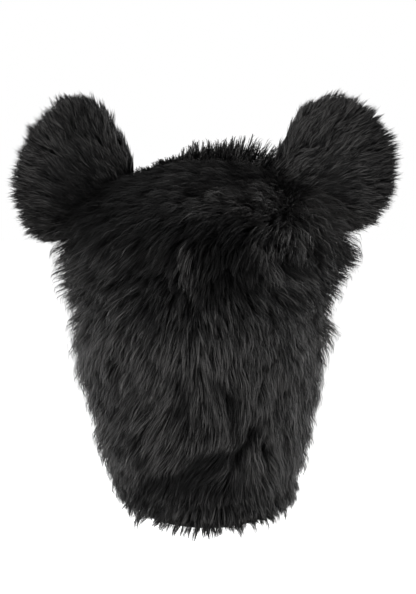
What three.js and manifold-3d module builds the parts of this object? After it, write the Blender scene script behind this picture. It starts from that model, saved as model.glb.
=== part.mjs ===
// A bear ear hat: a long-pile fur hood with two round ears, open at the face and at the neck.
// Millimetres, +Z up. The back of the hood faces -Y, the face opening +Y.
// The origin is the inside of the crown's top, where a head carries the hat.

import * as THREE from 'three';
import { mergeVertices } from 'three/addons/utils/BufferGeometryUtils.js';
import Module from 'manifold-3d';

const wasm = await Module();
wasm.setup();

// Driving dimensions
const WALL = 3;
const GAP = 0.3;
const TRIM = 0.13;
const CROWN_TOP = WALL;
const BROW_LEVEL = -60;
const DOME_HEIGHT = CROWN_TOP - BROW_LEVEL;
const HEM_TOP = -225;
const HEM_BOTTOM = -247;
const HEM_ROLL = 2.5;
const HEM_RISE = 0.13;
const FORM_BOTTOM = -258;
const SEAM_Y = -28;
const SEAM_LEAN = 0.12;
const UNDERFUR = 0.64;
const AROUND = 26;
const DOME_ROWS = 5;
const NECK_ROWS = 8;
const ROOM = 700;

// The wall's outside below the dome, a row for each height: half width, reach to the back and
// to the front, sideways shift, and how far the pile stands out.
const SECTIONS = [
  { z: -260, half: 46, back: 52, front: 46, shift: 3, pile: 10 },
  { z: -240, half: 49, back: 54, front: 48, shift: 2, pile: 11 },
  { z: -226, half: 54, back: 56, front: 50, shift: 0, pile: 12 },
  { z: -197, half: 63, back: 60, front: 53, shift: -1, pile: 14 },
  { z: -168, half: 69, back: 64, front: 57, shift: 0, pile: 15 },
  { z: -150, half: 73, back: 68, front: 61, shift: -2, pile: 16 },
  { z: -125, half: 76, back: 80, front: 68, shift: -4, pile: 17 },
  { z: -108, half: 75, back: 90, front: 74, shift: -4, pile: 17 },
  { z: -88, half: 80, back: 97, front: 80, shift: -2, pile: 19 },
  { z: BROW_LEVEL, half: 84, back: 98, front: 86, shift: 0, pile: 23 },
];

// The face opening's half width by height, from the gap at the neck up to the brow.
const FACE_OPENING = [
  { z: -275, half: 33 },
  { z: -215, half: 33 },
  { z: -165, half: 38 },
  { z: -130, half: 56 },
  { z: -100, half: 68 },
  { z: -75, half: 67 },
  { z: -52, half: 46 },
  { z: -44, half: 0 },
];

// Which way the pile lies on the back panel, seen from behind: a place and a heading in degrees,
// counted from +X towards +Z. Lift is how much more than usual the pile stands off there.
const NAP_GUIDES = [
  { x: -44, z: -18, heading: 196, lift: 1 },
  { x: 4, z: -20, heading: 202, lift: 1 },
  { x: 52, z: -26, heading: 335, lift: 1 },
  { x: -76, z: -46, heading: 224, lift: 1 },
  { x: 7, z: -52, heading: 250, lift: 1.15 },
  { x: 76, z: -52, heading: 318, lift: 1 },
  { x: -90, z: -82, heading: 236, lift: 1 },
  { x: -20, z: -80, heading: 262, lift: 1 },
  { x: 40, z: -78, heading: 275, lift: 1 },
  { x: 84, z: -90, heading: 304, lift: 1 },
  { x: -68, z: -136, heading: 234, lift: 1 },
  { x: 0, z: -145, heading: 266, lift: 1 },
  { x: 64, z: -136, heading: 276, lift: 1 },
  { x: -54, z: -194, heading: 232, lift: 1 },
  { x: 20, z: -190, heading: 246, lift: 1 },
  { x: 52, z: -190, heading: 292, lift: 1 },
];

const GUIDE_SOFTNESS = 8;

// The ears, a row for each: centre, size over the pile, and lean of the long axis in degrees.
const EARS = [
  { name: 'ear_left', side: -1, x: -98, z: 3, wide: 45, tall: 57, lean: 12 },
  { name: 'ear_right', side: 1, x: 98, z: 5, wide: 44, tall: 53, lean: 9 },
];
const EAR_Y = -22;
const EAR_PILE = 10;
const EAR_HALF_THICKNESS = 12;
const EAR_CUP = 9;
const EAR_ROOT_STRETCH = 1.4;
const EAR_CLEARANCE = 0.8;

const EAR_FRONT_REACH = 32;

// The locks of pile: how far apart they are rooted, their size, and how much their heading varies
const BODY_LOCK = { spacing: 30, length: 42, width: 25, thickness: 14, turn: 0.22 };
const EAR_LOCK = { spacing: 24, length: 20, width: 18, thickness: 10, turn: 0.3 };
const HEM_LOCK = { spacing: 17, length: 17, width: 16, thickness: 8, turn: 0.22 };
const BODY_LOCK_ROWS = { top: 0.06, bottom: 0.8, count: 9 };
const EAR_LOCK_LEVELS = [0.18, 0.36, 0.52, 0.72];
const SEAM_MARGIN = 4;
const FACE_MARGIN = 6;

// Heights of a lock's root, middle and tip, as parts of the pile on the hood or in mm on an ear
const HOOD_LOCK_RISE = [0.35, 0.8, 1.05];
const EAR_LOCK_RISE = [-2, 4.5, 6];

// The pile is shorter over the crown, and the front panel's stands up in a crest behind the seam
const CROWN_SHORTER = 0.42;
const CREST = { from: -10, to: 62, height: 11 };

const FABRIC_COLOUR = 0x202022;
const FUR_COLOUR = 0x141416;

const { clamp, degToRad, lerp, smoothstep } = THREE.MathUtils;
let seed = 20;

/** A repeatable random number between -1 and 1. */
function jitter() {
  seed = (seed * 1103515245 + 12345) % 2147483648;
  return (seed / 2147483648) * 2 - 1;
}

/** The solid that a closed geometry bounds. */
function solidOf(geometry) {
  const bare = geometry.clone();
  bare.deleteAttribute('normal');
  bare.deleteAttribute('uv');
  const merged = mergeVertices(bare, 1e-4);
  const vertProperties = new Float32Array(merged.getAttribute('position').array);
  const triVerts = new Uint32Array(merged.getIndex().array);
  return new wasm.Manifold(new wasm.Mesh({ numProp: 3, vertProperties, triVerts }));
}

/** The largest connected body of a solid, without crumbs or pockets sealed in between locks. */
function mainBody(solid) {
  const bodies = solid.simplify(TRIM).decompose();
  return bodies.reduce((largest, body) => (body.volume() > largest.volume() ? body : largest));
}

/** The named mesh of a solid, in one plain material. */
function meshOf(name, solid, colour) {
  const result = mainBody(solid).getMesh();
  const geometry = new THREE.BufferGeometry();
  geometry.setAttribute('position', new THREE.BufferAttribute(result.vertProperties, result.numProp));
  geometry.setIndex(new THREE.BufferAttribute(result.triVerts, 1));
  const material = new THREE.MeshStandardMaterial({ color: colour, roughness: 0.9, metalness: 0 });
  const mesh = new THREE.Mesh(geometry, material);
  mesh.name = name;
  return mesh;
}

/** A closed body from a sphere's grid: place(angle, level) puts each point, level 0 first. */
function bodyOf(around, rows, place) {
  const geometry = new THREE.SphereGeometry(1, around, rows);
  const position = geometry.getAttribute('position');
  for (let i = 0; i < position.count; i += 1) {
    const row = Math.floor(i / (around + 1));
    const column = (i % (around + 1)) % around;
    const point = place((column / around) * 2 * Math.PI, row / rows);
    position.setXYZ(i, point.x, point.y, point.z);
  }
  return solidOf(geometry);
}

const COLUMNS = ['half', 'back', 'front', 'shift', 'pile'];
const sectionCurve = new THREE.CubicInterpolant(
  SECTIONS.map((row) => row.z),
  SECTIONS.flatMap((row) => COLUMNS.map((column) => row[column])),
  COLUMNS.length,
);

/** The wall's section at a height; above the brow level it is the dome's widest section. */
function sectionAt(z) {
  const values = sectionCurve.evaluate(clamp(z, SECTIONS[0].z, BROW_LEVEL));
  return Object.fromEntries(COLUMNS.map((column, i) => [column, values[i]]));
}

/** How far the pile stands off the wall at a place. */
function pileAt(point) {
  const rise = smoothstep(point.z, BROW_LEVEL + 12, CROWN_TOP);
  const onBand = smoothstep(point.y, SEAM_Y, SEAM_Y + 20);
  const fromLeft = smoothstep(point.x, CREST.from - 8, CREST.from + 8);
  const toRight = 1 - smoothstep(point.x, CREST.to - 10, CREST.to + 10);
  const crest = CREST.height * rise * onBand * fromLeft * toRight;
  return sectionAt(point.z).pile * (1 - CROWN_SHORTER * rise) + crest;
}

/** A point at an angle and a level on the hood, with a lift off the wall's outside. */
function hoodPoint(angle, level, liftAt) {
  const rows = DOME_ROWS + NECK_ROWS;
  const step = level * (rows + 1);
  const onDome = step <= DOME_ROWS;
  const climb = onDome ? (1 - step / DOME_ROWS) * (Math.PI / 2) : 0;
  const fall = onDome ? 0 : Math.min((step - DOME_ROWS) / NECK_ROWS, 1);
  const domeZ = BROW_LEVEL + DOME_HEIGHT * Math.sin(climb);
  const z = onDome ? domeZ : lerp(BROW_LEVEL, FORM_BOTTOM, fall);
  const section = sectionAt(z);
  if (step > rows + 0.5) {
    return new THREE.Vector3(section.shift, 0, FORM_BOTTOM);
  }
  const reach = Math.cos(angle) > 0 ? section.back : section.front;
  const across = Math.cos(climb) * Math.sin(angle);
  const along = -Math.cos(climb) * Math.cos(angle);
  const bare = new THREE.Vector3(section.shift + section.half * across, reach * along, z);
  const lift = liftAt(bare);
  return new THREE.Vector3(
    section.shift + (section.half + lift) * across,
    (reach + lift) * along,
    z + lift * Math.sin(climb),
  );
}

/** The hood's filled form, with its outside lifted off the wall. */
function hoodForm(liftAt) {
  const rows = DOME_ROWS + NECK_ROWS + 1;
  return bodyOf(AROUND, rows, (angle, level) => hoodPoint(angle, level, liftAt));
}

/** The nearest place on the hood's wall to a point, and the outward direction there. */
function onHood(point) {
  const section = sectionAt(point.z);
  const reach = point.y < 0 ? section.back : section.front;
  const rise = Math.max(point.z - BROW_LEVEL, 0);
  const across = point.x - section.shift;
  const size = Math.hypot(across / section.half, point.y / reach, rise / DOME_HEIGHT);
  const place = new THREE.Vector3(
    section.shift + across / size,
    point.y / size,
    rise > 0 ? BROW_LEVEL + rise / size : point.z,
  );
  const out = new THREE.Vector3(
    across / section.half ** 2,
    point.y / reach ** 2,
    rise / DOME_HEIGHT ** 2,
  );
  return { place, out: out.normalize() };
}

/** The seam's distance back at a height: a plane that leans forward going down. */
function seamAt(z) {
  return SEAM_Y - SEAM_LEAN * z;
}

/** Whether a place lies in the face opening, widened by a margin. */
function insideFace(place, margin) {
  const above = FACE_OPENING.findIndex((row) => row.z > place.z);
  if (above < 1 || place.y < 0) {
    return false;
  }
  const low = FACE_OPENING[above - 1];
  const high = FACE_OPENING[above];
  const half = lerp(low.half, high.half, (place.z - low.z) / (high.z - low.z));
  return Math.abs(place.x) < half + margin;
}

/** Whether a place on the hood is clear of both ears' roots. */
function clearOfEars(place) {
  return EARS.every((ear) => Math.hypot(place.x - ear.x, place.z - ear.z) > ear.tall * 0.85
    || Math.abs(place.y - EAR_Y) > EAR_FRONT_REACH);
}

/** The direction and the lift of the pile at a place on the hood. */
function napAt(place, out) {
  const heading = new THREE.Vector3();
  let lift = 1;
  if (place.y > seamAt(place.z)) {
    const low = smoothstep(-place.z, 20, 200);
    heading.set(0, 1 - low, -0.25 - low);
  } else {
    let total = 0;
    lift = 0;
    for (const guide of NAP_GUIDES) {
      const away = Math.hypot(place.x - guide.x, place.z - guide.z, GUIDE_SOFTNESS);
      const weight = 1 / away ** 3;
      heading.x += weight * Math.cos(degToRad(guide.heading));
      heading.z += weight * Math.sin(degToRad(guide.heading));
      lift += weight * guide.lift;
      total += weight;
    }
    lift /= total;
  }
  heading.addScaledVector(out, -heading.dot(out)).normalize();
  return { heading, lift };
}

/** One lock: a three-sided cone bent along root, middle and tip, flat against the surface. */
function lockSolid(points, heading, out, size) {
  const geometry = new THREE.ConeGeometry(1, 1, 3, points.length - 1);
  const position = geometry.getAttribute('position');
  const across = new THREE.Vector3().crossVectors(heading, out).normalize();
  const up = new THREE.Vector3().crossVectors(across, heading).normalize();
  for (let i = 0; i < position.count; i += 1) {
    const ring = Math.round((position.getY(i) + 0.5) * (points.length - 1));
    const radius = Math.hypot(position.getX(i), position.getZ(i));
    const full = radius > 0.01 ? [0.85, 1, 0][ring] / radius : 0;
    const point = points[ring].clone();
    point.addScaledVector(across, (position.getX(i) * full * size.width) / 2);
    point.addScaledVector(up, (position.getZ(i) * full * size.thickness) / 2);
    position.setXYZ(i, point.x, point.y, point.z);
  }
  return solidOf(geometry);
}

/** A lock on the hood, rooted at a place, that follows the surface along the nap. */
function hoodLock(place, out, size) {
  const { heading, lift } = napAt(place, out);
  heading.applyAxisAngle(out, jitter() * size.turn);
  const length = size.length * (1 + 0.15 * jitter());
  const tipLift = lift * (1 + 0.12 * jitter());
  const points = HOOD_LOCK_RISE.map((rise, i) => {
    const along = onHood(place.clone().addScaledVector(heading, (length * i) / 2));
    const height = pileAt(along.place) * rise * (i === 2 ? tipLift : 1);
    return along.place.addScaledVector(along.out, height);
  });
  return lockSolid(points, heading, out, size);
}

/** The hood's locks, in staggered rows from the crown to the neck, where keep(place) says yes. */
function hoodLocks(keep) {
  const locks = [];
  const { top, bottom, count: rows } = BODY_LOCK_ROWS;
  for (let row = 0; row < rows; row += 1) {
    const level = lerp(top, bottom, row / (rows - 1));
    const side = hoodPoint(Math.PI / 2, level, () => 0);
    const back = hoodPoint(0, level, () => 0);
    const girth = Math.PI * (Math.abs(side.x) + Math.abs(back.y));
    const count = Math.max(Math.round(girth / BODY_LOCK.spacing), 3);
    for (let i = 0; i < count; i += 1) {
      const angle = ((i + (row % 2) / 2 + 0.12 * jitter()) / count) * 2 * Math.PI;
      const { place, out } = onHood(hoodPoint(angle, level, () => 0));
      if (keep(place) && clearOfEars(place)) {
        locks.push(hoodLock(place, out, BODY_LOCK));
      }
    }
  }
  return locks;
}

/** The short locks that hang from the hem, all round the neck. */
function hemFringe() {
  const section = sectionAt(HEM_BOTTOM);
  const count = Math.round((Math.PI * (section.half + section.back)) / HEM_LOCK.spacing);
  const locks = [];
  for (let i = 0; i < count; i += 1) {
    const angle = ((i + 0.2 * jitter()) / count) * 2 * Math.PI;
    const x = section.half * Math.sin(angle);
    const y = -section.back * Math.cos(angle);
    const z = HEM_BOTTOM + HEM_RISE * (y + section.back) + 7 + 3 * jitter();
    const { place, out } = onHood(new THREE.Vector3(x, y, z));
    if (!insideFace(place, FACE_MARGIN)) {
      locks.push(hoodLock(place, out, HEM_LOCK));
    }
  }
  return locks;
}

/** Everything behind the ear-to-ear seam, or in front of it. */
function seamSide(front) {
  const geometry = new THREE.BoxGeometry(ROOM, ROOM, ROOM);
  geometry.translate(0, (front ? 1 : -1) * (ROOM / 2 + GAP / 2), 0);
  geometry.rotateX(Math.atan(SEAM_LEAN));
  geometry.translate(0, SEAM_Y, 0);
  return solidOf(geometry);
}

/** Everything between two heights at the back of the neck, in a layer that rises to the front. */
function layer(low, high) {
  const nape = sectionAt(HEM_TOP).back;
  const geometry = new THREE.BoxGeometry(ROOM, ROOM, high - low);
  geometry.translate(0, nape, (low + high) / 2 - HEM_TOP);
  geometry.rotateX(Math.atan(HEM_RISE));
  geometry.translate(0, -nape, HEM_TOP);
  return solidOf(geometry);
}

/** The face opening, as the block that is cut out of the front. */
function faceBlock() {
  const rising = FACE_OPENING.map((row) => new THREE.Vector2(row.half, row.z));
  const falling = FACE_OPENING.slice(0, -1).reverse().map((row) => new THREE.Vector2(-row.half, row.z));
  const outline = new THREE.SplineCurve([...rising, ...falling]).getPoints(28);
  const depth = 160;
  const geometry = new THREE.ExtrudeGeometry(new THREE.Shape(outline), { depth, bevelEnabled: false });
  geometry.rotateX(Math.PI / 2);
  geometry.translate(0, depth + 8, 0);
  return solidOf(geometry);
}

/** A place on an ear's form: angle round its middle, level from its back face to its front. */
function earPoint(ear, angle, level, grow) {
  const polar = level * Math.PI;
  const ring = Math.sin(polar) ** 0.75;
  const lean = degToRad(ear.lean) * ear.side;
  const wide = (ear.wide - EAR_PILE + grow) * ring * Math.cos(angle);
  const tall = (ear.tall - EAR_PILE + grow) * ring * Math.sin(angle);
  const x = wide * Math.cos(lean) - tall * Math.sin(lean);
  const z = tall * Math.cos(lean) + wide * Math.sin(lean);
  const toHead = new THREE.Vector2(-ear.x, BROW_LEVEL - ear.z).normalize();
  const inward = Math.max((x * toHead.x + z * toHead.y) / ear.wide, 0);
  const stretch = 1 + (EAR_ROOT_STRETCH - 1) * inward;
  const spread = (x / ear.wide) ** 2 + (z / ear.tall) ** 2;
  const y = EAR_Y - (EAR_HALF_THICKNESS + grow) * Math.cos(polar) + EAR_CUP * spread;
  return new THREE.Vector3(ear.x + x * stretch, y, ear.z + z * stretch);
}

/** An ear's bare form. */
function earForm(ear, grow) {
  return bodyOf(18, 8, (angle, level) => earPoint(ear, angle, level, grow));
}

/** The ear's locks, fanning out from its root over both faces and the rim. */
function earLocks(ear) {
  const locks = [];
  const rootAt = new THREE.Vector3(ear.x * 0.62, EAR_Y, ear.z - 26);
  EAR_LOCK_LEVELS.forEach((level, row) => {
    const girth = Math.PI * (ear.wide + ear.tall) * Math.sin(level * Math.PI) * 0.8;
    const count = Math.max(Math.round(girth / EAR_LOCK.spacing), 4);
    for (let i = 0; i < count; i += 1) {
      const angle = ((i + (row % 2) / 2) / count) * 2 * Math.PI;
      const place = earPoint(ear, angle, level, 0);
      const out = earPoint(ear, angle, level, 1).sub(place).normalize();
      const heading = place.clone().sub(rootAt).normalize();
      heading.y *= 0.3;
      heading.addScaledVector(out, -heading.dot(out)).normalize();
      heading.applyAxisAngle(out, jitter() * EAR_LOCK.turn);
      const length = EAR_LOCK.length * (1 + 0.2 * jitter());
      const tipRise = 1.5 * jitter();
      const clearOfHood = onHood(place).place.distanceTo(place) > EAR_LOCK.width;
      if (clearOfHood && place.distanceTo(rootAt) > 1.5 * EAR_LOCK.length) {
        const points = EAR_LOCK_RISE.map((rise, part) => place.clone()
          .addScaledVector(heading, (length * part) / 2)
          .addScaledVector(out, rise + (part === 2 ? tipRise : 0)));
        locks.push(lockSolid(points, heading, out, EAR_LOCK));
      }
    }
  });
  return locks;
}

const { union } = wasm.Manifold;
const face = faceBlock();
const behind = seamSide(false);
const before = seamSide(true);
const aboveHem = layer(HEM_TOP + GAP / 2, ROOM / 2);
const hemLayer = layer(HEM_BOTTOM, HEM_TOP - GAP / 2);
const belowHem = layer(-ROOM / 2, HEM_TOP - GAP / 2);

// The fabric walls, and the hem turned in and out at the neck edge
const wall = hoodForm(() => 0).subtract(hoodForm(() => -WALL)).subtract(face).intersect(aboveHem);
const hemOutside = hoodForm(() => HEM_ROLL);
const hemInside = hoodForm(() => -WALL - HEM_ROLL);
const neckHem = hemOutside.subtract(hemInside).subtract(face).intersect(hemLayer);

// The ears, with the room that the fur leaves round them
const furFloor = hoodForm(() => GAP);
const ears = EARS.map((ear) => union([earForm(ear, 0), ...earLocks(ear)]).subtract(furFloor));
const earRoom = union(EARS.map((ear) => earForm(ear, EAR_CLEARANCE)));

/** A panel's fur: its underfur and locks, cut at the seam and hem, clear of wall and ears. */
function furPiece(locks, side) {
  const underfur = hoodForm((bare) => pileAt(bare) * UNDERFUR).subtract(face).intersect(side);
  return union([underfur, ...locks]).subtract(furFloor).subtract(earRoom).intersect(side)
    .intersect(aboveHem);
}

const onBack = (place) => place.y < seamAt(place.z) - SEAM_MARGIN;
const onBand = (place) => place.y > seamAt(place.z) + SEAM_MARGIN && !insideFace(place, FACE_MARGIN);
const furBack = furPiece(hoodLocks(onBack), behind);
const furFaceBand = furPiece(hoodLocks(onBand), before);

const hemFloor = hoodForm(() => HEM_ROLL + GAP);
const hemUnderfur = hoodForm((bare) => HEM_ROLL + pileAt(bare) * UNDERFUR).subtract(face)
  .intersect(hemLayer);
const furNeckHem = union([hemUnderfur, ...hemFringe()]).subtract(hemFloor).intersect(belowHem);

const model = new THREE.Group();
model.add(meshOf('crown_back', wall.intersect(behind), FABRIC_COLOUR));
model.add(meshOf('face_band', wall.intersect(before), FABRIC_COLOUR));
model.add(meshOf('neck_hem', neckHem, FABRIC_COLOUR));
model.add(meshOf('fur_back', furBack, FUR_COLOUR));
model.add(meshOf('fur_face_band', furFaceBand, FUR_COLOUR));
model.add(meshOf('fur_neck_hem', furNeckHem, FUR_COLOUR));
ears.forEach((solid, i) => model.add(meshOf(EARS[i].name, solid, FUR_COLOUR)));

export default model;
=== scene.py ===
"""The looks of a bear ear hat: black long pile over a knitted hood, with two padded round ears."""

import logging
import math
from dataclasses import dataclass, field, replace
from enum import Enum

import bmesh
import bpy
import numpy as np
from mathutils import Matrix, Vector
from mathutils.kdtree import KDTree

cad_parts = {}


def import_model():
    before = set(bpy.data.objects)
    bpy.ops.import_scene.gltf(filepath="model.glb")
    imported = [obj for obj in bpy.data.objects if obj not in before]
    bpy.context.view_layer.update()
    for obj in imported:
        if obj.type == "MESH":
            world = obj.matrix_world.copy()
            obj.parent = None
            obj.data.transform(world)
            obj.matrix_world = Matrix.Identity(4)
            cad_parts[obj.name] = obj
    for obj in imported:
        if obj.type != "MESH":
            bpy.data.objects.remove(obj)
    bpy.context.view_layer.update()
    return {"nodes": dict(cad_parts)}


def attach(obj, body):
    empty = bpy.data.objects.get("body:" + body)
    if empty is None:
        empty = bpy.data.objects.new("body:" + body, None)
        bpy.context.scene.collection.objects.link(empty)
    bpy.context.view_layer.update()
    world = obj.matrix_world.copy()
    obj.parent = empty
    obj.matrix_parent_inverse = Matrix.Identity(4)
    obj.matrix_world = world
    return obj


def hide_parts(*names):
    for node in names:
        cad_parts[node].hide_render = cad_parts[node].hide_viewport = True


LOG = logging.getLogger("bear_ear_hat")
MM = 0.001
SHADE_MAP = "strand"
BAKE_MAP = "OFBake"
MAP_BANDS = 3


class Panel(Enum):
    """The stretches of the hood that carry pile of their own."""

    BACK_UPPER = "pile_back_upper"
    BACK_LOWER = "pile_back_lower"
    FACE_BAND = "pile_face_band"
    NECK_HEM = "pile_neck_hem"


class Side(Enum):
    """Which ear, as the sign of its x."""

    LEFT = -1
    RIGHT = 1


def unit(vectors: np.ndarray) -> np.ndarray:
    """Vectors along the last axis, each scaled to length 1."""
    return vectors / np.maximum(np.linalg.norm(vectors, axis=-1, keepdims=True), 1e-9)


def ease(value: np.ndarray, low: float, high: float) -> np.ndarray:
    """A smooth step from 0 at low to 1 at high."""
    part = np.clip((value - low) / (high - low), 0.0, 1.0)
    return part * part * (3.0 - 2.0 * part)


def turned(vectors: np.ndarray, axes: np.ndarray, angles: np.ndarray) -> np.ndarray:
    """Turns vectors about unit axes.

    Args:
        vectors: The vectors, one to a row.
        axes: A unit axis for each.
        angles: An angle in radians for each.

    Returns:
        The turned vectors.
    """
    cos, sin = np.cos(angles)[:, None], np.sin(angles)[:, None]
    along = axes * np.sum(axes * vectors, axis=1, keepdims=True)
    return vectors * cos + np.cross(axes, vectors) * sin + along * (1.0 - cos)


@dataclass(frozen=True)
class Span:
    """A range that a smooth step climbs over, or that chance picks from evenly."""

    low: float
    high: float

    def climb(self, value: np.ndarray) -> np.ndarray:
        """A smooth step from 0 at the low end to 1 at the high end."""
        return ease(value, self.low, self.high)

    def pick(self, count: int, rng: np.random.Generator) -> np.ndarray:
        """Some numbers from the range."""
        return rng.uniform(self.low, self.high, count)


def placed(name: str, data: bpy.types.ID) -> bpy.types.Object:
    """Puts a mesh, a light or a camera in the scene.

    Args:
        name: The object's name.
        data: The mesh, light or camera.

    Returns:
        The object.
    """
    made = bpy.data.objects.new(name, data)
    bpy.context.scene.collection.objects.link(made)
    return made


@dataclass(frozen=True)
class Section:
    """The wall's outside at one height, in millimetres, and how far the pile stands out there."""

    z: float
    half: float
    back: float
    front: float
    shift: float
    pile: float


@dataclass(frozen=True)
class FaceLevel:
    """The face opening's half width at one height."""

    z: float
    half: float


@dataclass(frozen=True)
class NapGuide:
    """A place on the back, as seen, and the way the pile lies there, in degrees from +X to +Z."""

    x: float
    z: float
    heading: float
    lift: float = 1.0


@dataclass(frozen=True)
class Patch:
    """A place on the back, as seen, where the pile stands higher or lower, or has painted shade or
    a painted highlight.

    It runs on in a straight line for run_x and run_z.
    """

    x: float
    z: float
    radius: float
    rise: float
    # painted shade below 0, painted highlight above 0
    shade: float
    run_x: float = 0.0
    run_z: float = 0.0

    def away(self, x: np.ndarray, z: np.ndarray) -> np.ndarray:
        """How far places lie from the patch's line.

        Args:
            x: The places' x, as seen.
            z: The places' z, as seen.

        Returns:
            The distances, in millimetres.
        """
        square = max(self.run_x**2 + self.run_z**2, 1e-9)
        along = ((x - self.x) * self.run_x + (z - self.z) * self.run_z) / square
        along = np.clip(along, 0.0, 1.0)
        return np.hypot(x - self.x - along * self.run_x, z - self.z - along * self.run_z)


@dataclass(frozen=True)
class Cut:
    """How a stretch of pile is cut and how it clumps, in millimetres.

    The turn, drift and bend are in radians. The pulls draw strands to their lock and locks to
    their tuft, follow is how far a lock takes its tuft's length, and vary is the shades' contrast.
    """

    strands: int
    length: float
    width: float
    lock_gap: float
    tuft_gap: float
    turn: float = 0.13
    drift: float = 0.2
    bend: float = 0.07
    lock_pull: float = 0.5
    tuft_pull: float = 0.25
    rise: float = 0.95
    frizz: float = 0.9
    stand: float = 2.8
    follow: float = 0.5
    vary: float = 1.0


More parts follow.
